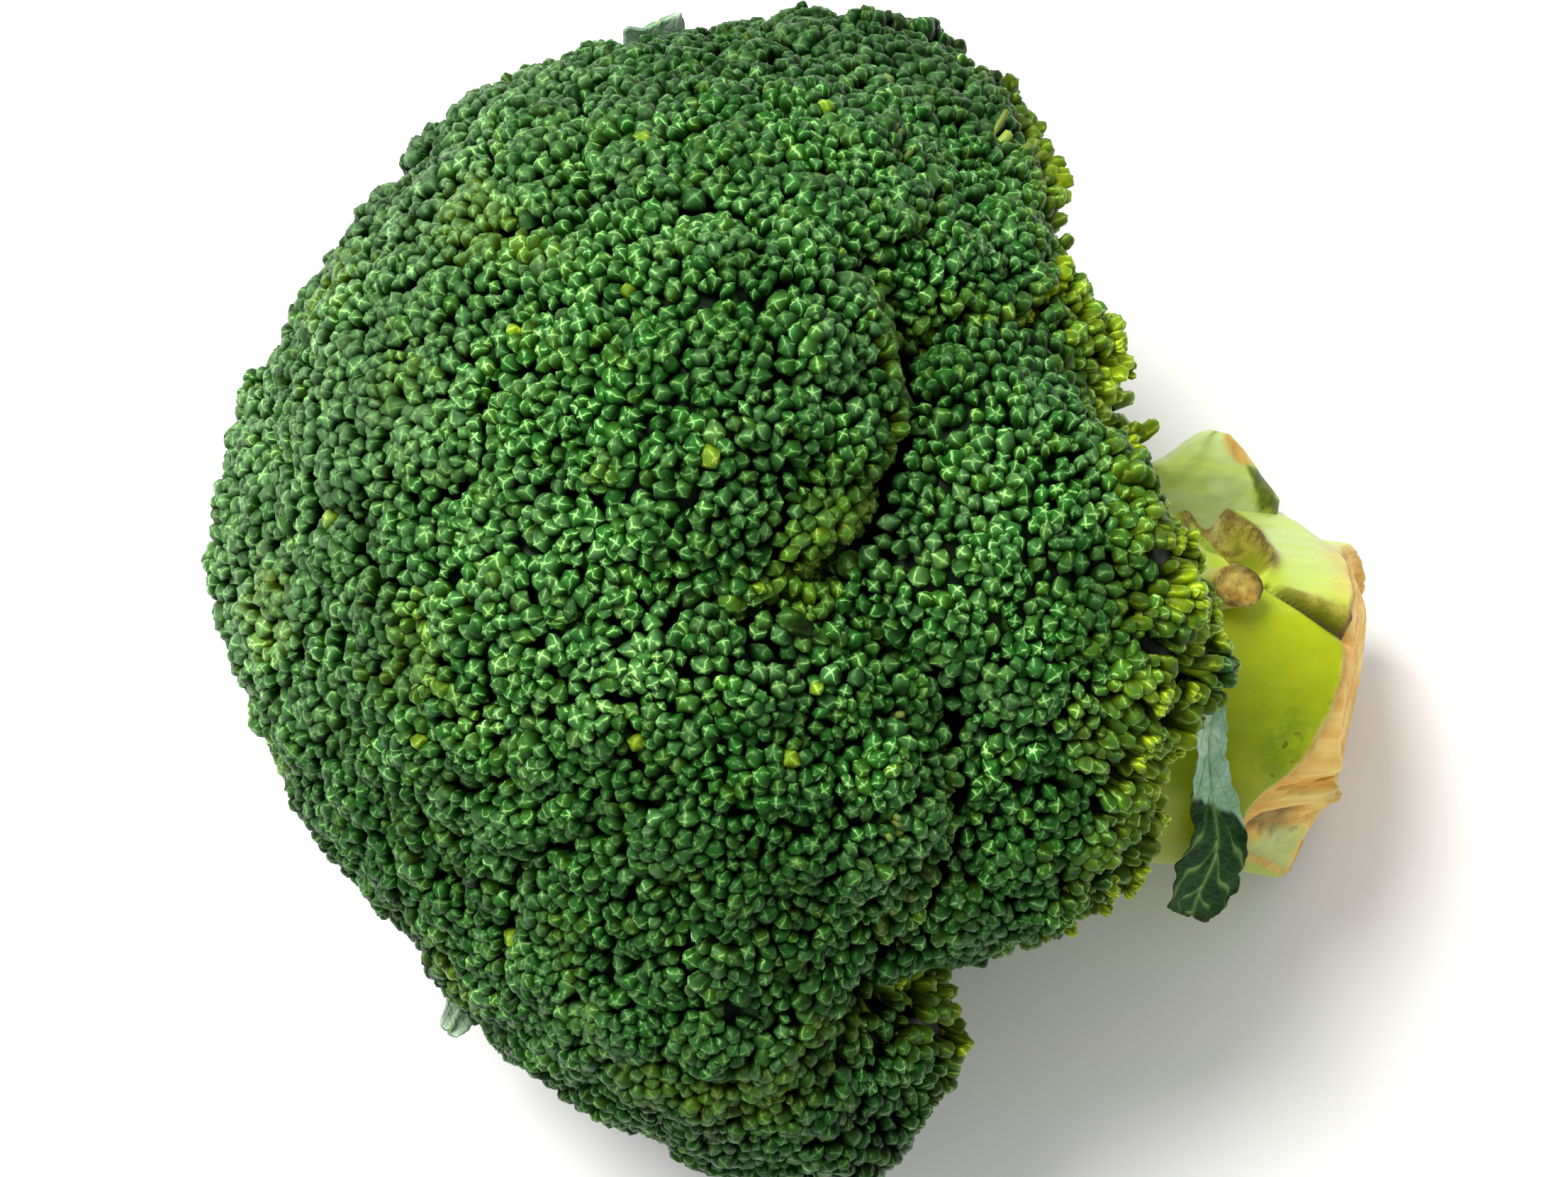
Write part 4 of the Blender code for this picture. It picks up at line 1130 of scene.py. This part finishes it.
def petiole_stub():
    out, side, down = radial(64), radial(154), np.array([0, 0, -1.0])
    keys = np.array([(13, 28.4, 9.0, 6.6, 1.5), (21.2, 28.5, 9.9, 5.6, 2.2), (22.6, 28.7, 9.6, 5.2, 2.7), (24.5, 28.1, 8.1, 4.6, 3.2), (25.5, 28.4, 6.6, 4.0, 3.0),
                     (26.9, 28.4, 5.1, 3.2, 2.6), (28.0, 28.3, 4.0, 2.6, 2.1), (29.2, 28.2, 2.6, 1.8, 1.5), (30.0, 28.5, 1.3, 1.0, 0.9)])
    m, rings = 72, []
    angle = np.arange(m) * 2 * math.pi / m
    steps = np.linspace(0, 1, 44)
    x = np.linspace(0, 1, len(keys))
    for s in steps:
        reach_, depth, a, far, near = (np.interp(s, x, keys[:, i]) for i in range(5))
        ca, sa = np.cos(angle), np.sin(angle)
        ca, sa = np.sign(ca) * np.abs(ca) ** 0.85, np.sign(sa) * np.abs(sa) ** 0.85
        b_ = np.where(sa < 0, near, far)
        # a shallow groove along the side that faces the crown's top
        dent = 0.7 * np.exp(-((angle - 4.4) / 0.40) ** 2) * smoothstep(0.1, 0.4, s)
        p = out * reach_ + down * depth + np.outer(ca * a, down) + np.outer(sa * b_ * (1 - 0.25 * ca) + dent, side)
        p = p + np.outer(0.35 * perlin(p * 0.22), out) + np.outer(0.2 * perlin(p * 0.5 + 9), side)
        rings.append(p)
    rings.append(np.repeat(rings[-1].mean(0)[None], m, 0) + 0.02 * (rings[-1] - rings[-1].mean(0)))

    def paint(pts, count, m_):
        s = np.repeat(np.append(steps, 1.0), m_)
        ca = np.tile(np.cos(angle), count)
        sa = np.tile(np.sin(angle), count)
        n1 = perlin(pts * 0.45 + 3)
        brown = smoothstep(0.54, 0.64, s + 0.07 * n1) * smoothstep(-0.05, 0.35, ca + 0.15 * n1)
        scar = smoothstep(0.52, 0.68, ca + 0.14 * n1) * smoothstep(0.06, 0.14, s) * smoothstep(0.60, 0.53, s)
        # painted highlights: patches where the scar is darkened less, as glints on its waxy skin
        painted_glint = scar * smoothstep(0.05, 0.45, perlin(pts * 0.9 + 8))
        pale = 0.50 + 0.30 * smoothstep(0.3, 0.7, s) * smoothstep(0.3, -0.6, ca) + 0.25 * smoothstep(0.3, 0.5, np.sin(ca * 4 + 1.0)) + 0.5 * smoothstep(0.22, 0.05, s)
        yellow = 0.55 * smoothstep(0.60, 0.25, s) * smoothstep(-0.2, -0.9, ca) + 0.25 * smoothstep(0.1, 0.6, n1)
        return np.stack([np.clip(pale * (1 - scar), 0, 1), 0.30 * brown, 0.62 * (scar - 0.6 * painted_glint)], 1), np.stack([0.80 * brown, np.clip(yellow, 0, 1), np.clip(scar * 1.5, 0, 1)], 1)

    return ring_piece("stub.petiole", rings, paint, ["petiole_stub"], lambda p: p * (0.35, 0.35, 0.08))


def shoot_stub():
    out = radial(2) * 0.93 + np.array([0, 0, -1.0]) * 0.30 + radial(-88) * 0.20
    out = out / np.linalg.norm(out)
    along = np.array([0, 0, -1.0]) - out * np.dot(np.array([0, 0, -1.0]), out)
    along /= np.linalg.norm(along)
    across = np.cross(out, along)
    base = radial(4) * 14 + np.array([0, 1.9, -18.5])
    m = 60
    angle = np.arange(m) * 2 * math.pi / m
    rings, marks = [], []
    for h, a, b_, mark in ((0, 5.0, 4.2, 0), (3, 4.6, 4.0, 0), (6, 4.2, 3.6, 0), (8.5, 3.9, 3.3, 0), (10.5, 3.7, 3.1, 0), (12.2, 3.7, 3.0, 0.15), (13.4, 3.9, 3.15, 0.6), (14.1, 4.0, 3.2, 0.9), (14.5, 3.8, 3.05, 1.0), (14.3, 3.3, 2.6, 1.0), (13.9, 2.7, 2.1, 1.0), (14.1, 1.9, 1.5, 0.9), (14.2, 1.0, 0.8, 0.9), (14.1, 0.05, 0.05, 0.9)):
        bumpy = 1 + 0.05 * perlin(np.stack([np.cos(angle) * 1.5, np.sin(angle) * 1.5, angle * 0 + h * 0.2], 1))
        p = base + out * h + np.outer(np.cos(angle) * a * bumpy, along) + np.outer(np.sin(angle) * b_ * (0.82 if h > 9 else 0.92) * bumpy, across)
        if mark > 0.5:
            p = p + np.outer(0.35 * perlin(p * 0.9), out)
        rings.append(p)
        marks.append(np.full(m, mark))

    def paint(pts, count, m_):
        s = np.concatenate(marks)
        n1 = perlin(pts * 0.9 + 5)
        edge = np.exp(-((np.repeat(np.arange(count), m_) - 8.0) / 1.1) ** 2)
        brown = np.clip(s * (0.45 + 0.5 * n1) + 0.8 * edge, 0, 1)
        # painted shadow: one side of the ring below the stub's cut edge is darkened
        dark_and_shade = edge * smoothstep(0.1, 0.9, np.tile(np.cos(angle - 0.6), count)) * 0.8
        return np.stack([0.5 * (1 - s), brown, dark_and_shade], 1), np.stack([0.8 * s, 0.2 * (1 - s), 0 * s], 1)

    return ring_piece("stub.shoot", rings, paint, ["shoot_stub"], lambda p: p * 0.5)


petiole_stub()
shoot_stub()


# ------------------------------------------------------------------ leaves
def leaf_piece(name, spine, widths, faces_to, cup, rows, columns, replaces, turn_at=None, lift=None, thickness=0.42, seed=0, tooth=0.16):
    """A blade as a closed sheet: a midrib and side veins raised on it, a ragged margin."""
    path = smooth_path(spine, rows + 1)
    along = np.linspace(0, 1, rows + 1)
    across = np.linspace(-1, 1, columns + 1)
    grid, normals, blade, veins = [], [], [], []
    for i, v in enumerate(along):
        forward = unit(path[min(i + 1, rows)] - path[max(i - 1, 0)])
        side = unit(np.cross(faces_to(v), forward))
        up = np.cross(forward, side)
        half = float(np.interp(v, np.linspace(0, 1, len(widths)), widths))
        ragged = 1 + tooth * perlin(np.array([[v * 9 + seed, s * 0.8, 0.3] for s in across])) + 0.6 * tooth * perlin(np.array([[v * 24 + seed, s * 1.2, 5.3] for s in across]))
        w = across * half * (1 + (ragged - 1) * np.abs(across))
        mid = np.exp(-((across * half / 0.24) ** 2))
        branch = np.zeros(len(across))
        for start in np.arange(-0.1, 1.0, 0.17):
            for sign in (1, -1):
                line = start + (0.05 if sign > 0 else 0.0) + 0.20 * np.abs(across) + 0.02 * np.sin(9 * np.abs(across) + 8 * start)
                branch = np.maximum(branch, np.exp(-(((v - line) * 24 / 0.30) ** 2)) * (across * sign > 0) * (1 - 0.4 * np.abs(across)))
        wave = 0.5 * np.sin(11 * v + seed) * across + 0.35 * np.sin(19 * v + 2 + seed) * across**2
        z = half * cup * across**2 + wave * smoothstep(0.2, 1.0, np.abs(across)) - 0.25 * branch - 0.30 * mid + 0.22 * perlin(np.stack([w * 0.5, np.full(len(w), v * 12 + seed), w * 0], 1))
        p = path[i] + np.outer(w, side) + np.outer(z, up)
        if lift is not None:
            p = lift(p)
        grid.append(p)
        turned = v - 0.055 * across * np.sign(side @ np.array([0.353, 0.0, -0.935])) + 0.05 * perlin(np.stack([across * 2.2, across * 0 + seed, across * 0], 1))
        under = np.zeros(len(across)) if turn_at is None else smoothstep(turn_at + 0.012, turn_at - 0.012, turned)
        blade.append(np.stack([across, np.full(len(across), v), under], 1))
        veins.append(np.maximum(mid, branch * 0.8))
    grid = np.array(grid)
    du = np.gradient(grid, axis=0)
    dv = np.gradient(grid, axis=1)
    nrm = unit(np.cross(du, dv))
    blade, veins = np.array(blade), np.array(veins)
    thin_edge = 1 - 0.6 * np.abs(across) ** 3
    upper = grid + nrm * (0.5 * thickness * thin_edge)[None, :, None]
    lower = grid - nrm * (0.5 * thickness * thin_edge)[None, :, None]
    r, c = grid.shape[:2]
    idx = np.arange(r * c).reshape(r, c)
    a, b_, d, e = idx[:-1, :-1].ravel(), idx[1:, :-1].ravel(), idx[1:, 1:].ravel(), idx[:-1, 1:].ravel()
    top = np.concatenate([np.stack([a, b_, d], 1), np.stack([a, d, e], 1)])
    bottom = top[:, ::-1] + r * c
    border = np.concatenate([idx[0, :], idx[1:, -1], idx[-1, -2::-1], idx[-2:0:-1, 0]])
    nxt = np.roll(border, -1)
    rim = np.concatenate([np.stack([border, nxt, nxt + r * c], 1), np.stack([border, nxt + r * c, border + r * c], 1)])
    pts = np.concatenate([upper.reshape(-1, 3), lower.reshape(-1, 3)])
    uv = np.stack([(blade[..., 0] * 0.5 + 0.5).ravel() * 0.48, blade[..., 1].ravel() * 0.98], 1)
    uv = np.concatenate([uv, uv + (0.5, 0)])
    other = blade.reshape(-1, 3).copy()
    if turn_at is None:
        other[:, 2] = 1.0
    attributes = {"blade": np.concatenate([blade.reshape(-1, 3), other]), "vein": np.concatenate([veins.ravel(), veins.ravel()])}
    return make_piece(name, pts, np.concatenate([top, bottom, rim]), [LEAF], attributes, uv=uv, replaces=replaces)


def blend_facing(a, b):
    a, b = np.asarray(a, float), np.asarray(b, float)
    return lambda along: a * (1 - along) + b * along


leaf_piece("leaf.by_stalk", LEAF_BY_STALK, LEAF_BY_STALK_WIDTHS, blend_facing((0.95, -0.3, -0.1), (0.1, -0.95, 0.3)), 0.22, 150, 44, ["leaf_by_stalk"], turn_at=0.45, seed=2, tooth=0.26)


def crown_reach(d):
    best = 30.0
    for head in heads:
        along = float(d @ head["centre"])
        off = np.linalg.norm(head["centre"] - d * along)
        if along > 0 and off < head["radius"]:
            best = max(best, along + math.sqrt(head["radius"] ** 2 - off * off))
    return best


def lie_on_crown(p):
    far = np.linalg.norm(p, axis=1)
    need = np.array([crown_reach(q / f) for q, f in zip(p, far)]) + 0.9
    return p / far[:, None] * np.maximum(far, need)[:, None]


for key, route, widths in (
    ("far_side", ((60, 108, 1.2), (59, 99, 1.0), (58, 90, 1.2), (57, 81, 3.0)), (2.0, 4.6, 5.0, 3.4)),
    ("lower_edge", ((52, -158, 1.2), (50, -148, 1.0), (48, -138, 1.2), (46, -127, 4.0)), (2.4, 5.0, 4.6, 1.2)),
):
    spine = [direction(p, a) * (crown_reach(direction(p, a)) + up) for p, a, up in route]
    leaf_piece("leaf." + key, spine, widths, blend_facing(direction(*route[0][:2]), direction(*route[-1][:2])), -0.1, 60, 20, ["leaf_" + key], lift=lie_on_crown, seed=len(key), tooth=0.2)


# -------------------------------------------------- camera, light and floor
OLD = math.radians(20.7)
old_axes = np.array([[math.sin(OLD), 0, math.cos(OLD)], [0, 1, 0], [-math.cos(OLD), 0, math.sin(OLD)]])
e = math.radians(70)
right, up, toward = (old_axes @ np.array(v) for v in ((1.0, 0, 0), (0, math.sin(e), math.cos(e)), (0, -math.cos(e), math.sin(e))))
target = old_axes @ np.array([-34.2, 2.6, 13.7])
right, up, toward = (TURN @ v for v in (right, up, toward))
target = TURN @ target + FORK
eye = target + toward * 550.0
aim = target + right * 9.70 - up * 1.05
camera_data = bpy.data.cameras.new("camera")
camera = bpy.data.objects.new("camera", camera_data)
bpy.context.scene.collection.objects.link(camera)
back = unit(eye - aim)
x_axis = unit(np.cross(up, back))
y_axis = np.cross(back, x_axis)
placed = Matrix.Identity(4)
for i, axis in enumerate((x_axis, y_axis, back)):
    for j in range(3):
        placed[j][i] = axis[j]
placed.translation = Vector(eye * 0.001)
camera.matrix_world = placed
camera_data.lens, camera_data.sensor_width = 102.94, 36.0
camera_data.clip_start, camera_data.clip_end = 0.02, 20.0
bpy.context.scene.camera = camera


def area(name, spot, look, size, power, colour):
    data = bpy.data.lights.new(name, "AREA")
    data.shape, data.size, data.energy, data.color = "DISK", size, power, colour
    obj = bpy.data.objects.new(name, data)
    bpy.context.scene.collection.objects.link(obj)
    obj.location = Vector(spot)
    obj.rotation_mode = "QUATERNION"
    obj.rotation_quaternion = (Vector(look) - Vector(spot)).to_track_quat("-Z", "Y")


centre = (cad_low + cad_high) / 2
area("key", (-0.40, 0.24, 1.05), centre, 0.60, 20.0, (1.0, 0.985, 0.95))

world = bpy.data.worlds.new("studio")
world.use_nodes = True
# a large soft light overhead and to the left, dimmer towards the front and the right
tree = world.node_tree
way = tree.nodes.new("ShaderNodeTexCoord")
dot = tree.nodes.new("ShaderNodeVectorMath")
dot.operation = "DOT_PRODUCT"
dot.inputs[1].default_value = (-0.27, 0.24, 0.93)
level = tree.nodes.new("ShaderNodeMapRange")
for s, v in zip(level.inputs[1:5], (-0.30, 0.95, 0.14, 1.00)):
    s.default_value = v
tree.links.new(way.outputs["Generated"], dot.inputs[0])
tree.links.new(dot.outputs["Value"], level.inputs[0])
tree.links.new(level.outputs[0], tree.nodes["Background"].inputs[1])
tree.nodes["Background"].inputs[0].default_value = (1.0, 1.0, 1.0, 1.0)
world.cycles.sampling_method = "NONE"
bpy.context.scene.world = world
bpy.context.scene.view_settings.view_transform = "Standard"

floor_mesh = bpy.data.meshes.new("floor")
floor_mesh.from_pydata([(-3, -3, 0), (3, -3, 0), (3, 3, 0), (-3, 3, 0)], [], [(0, 1, 2, 3)])
floor = bpy.data.objects.new("floor", floor_mesh)
bpy.context.scene.collection.objects.link(floor)
g = Graph("floor_paint")
g.shader.inputs["Base Color"].default_value = (0.84, 0.84, 0.84, 1)
g.shader.inputs["Roughness"].default_value = 0.9
g.shader.inputs["Specular IOR Level"].default_value = 0.1
floor_mesh.materials.append(g.mat)
floor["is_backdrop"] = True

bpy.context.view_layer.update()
total = 0
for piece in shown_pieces():
    faces = len(piece.data.polygons)
    total += faces
    if faces > 60000:
        print("big", piece.name, faces)
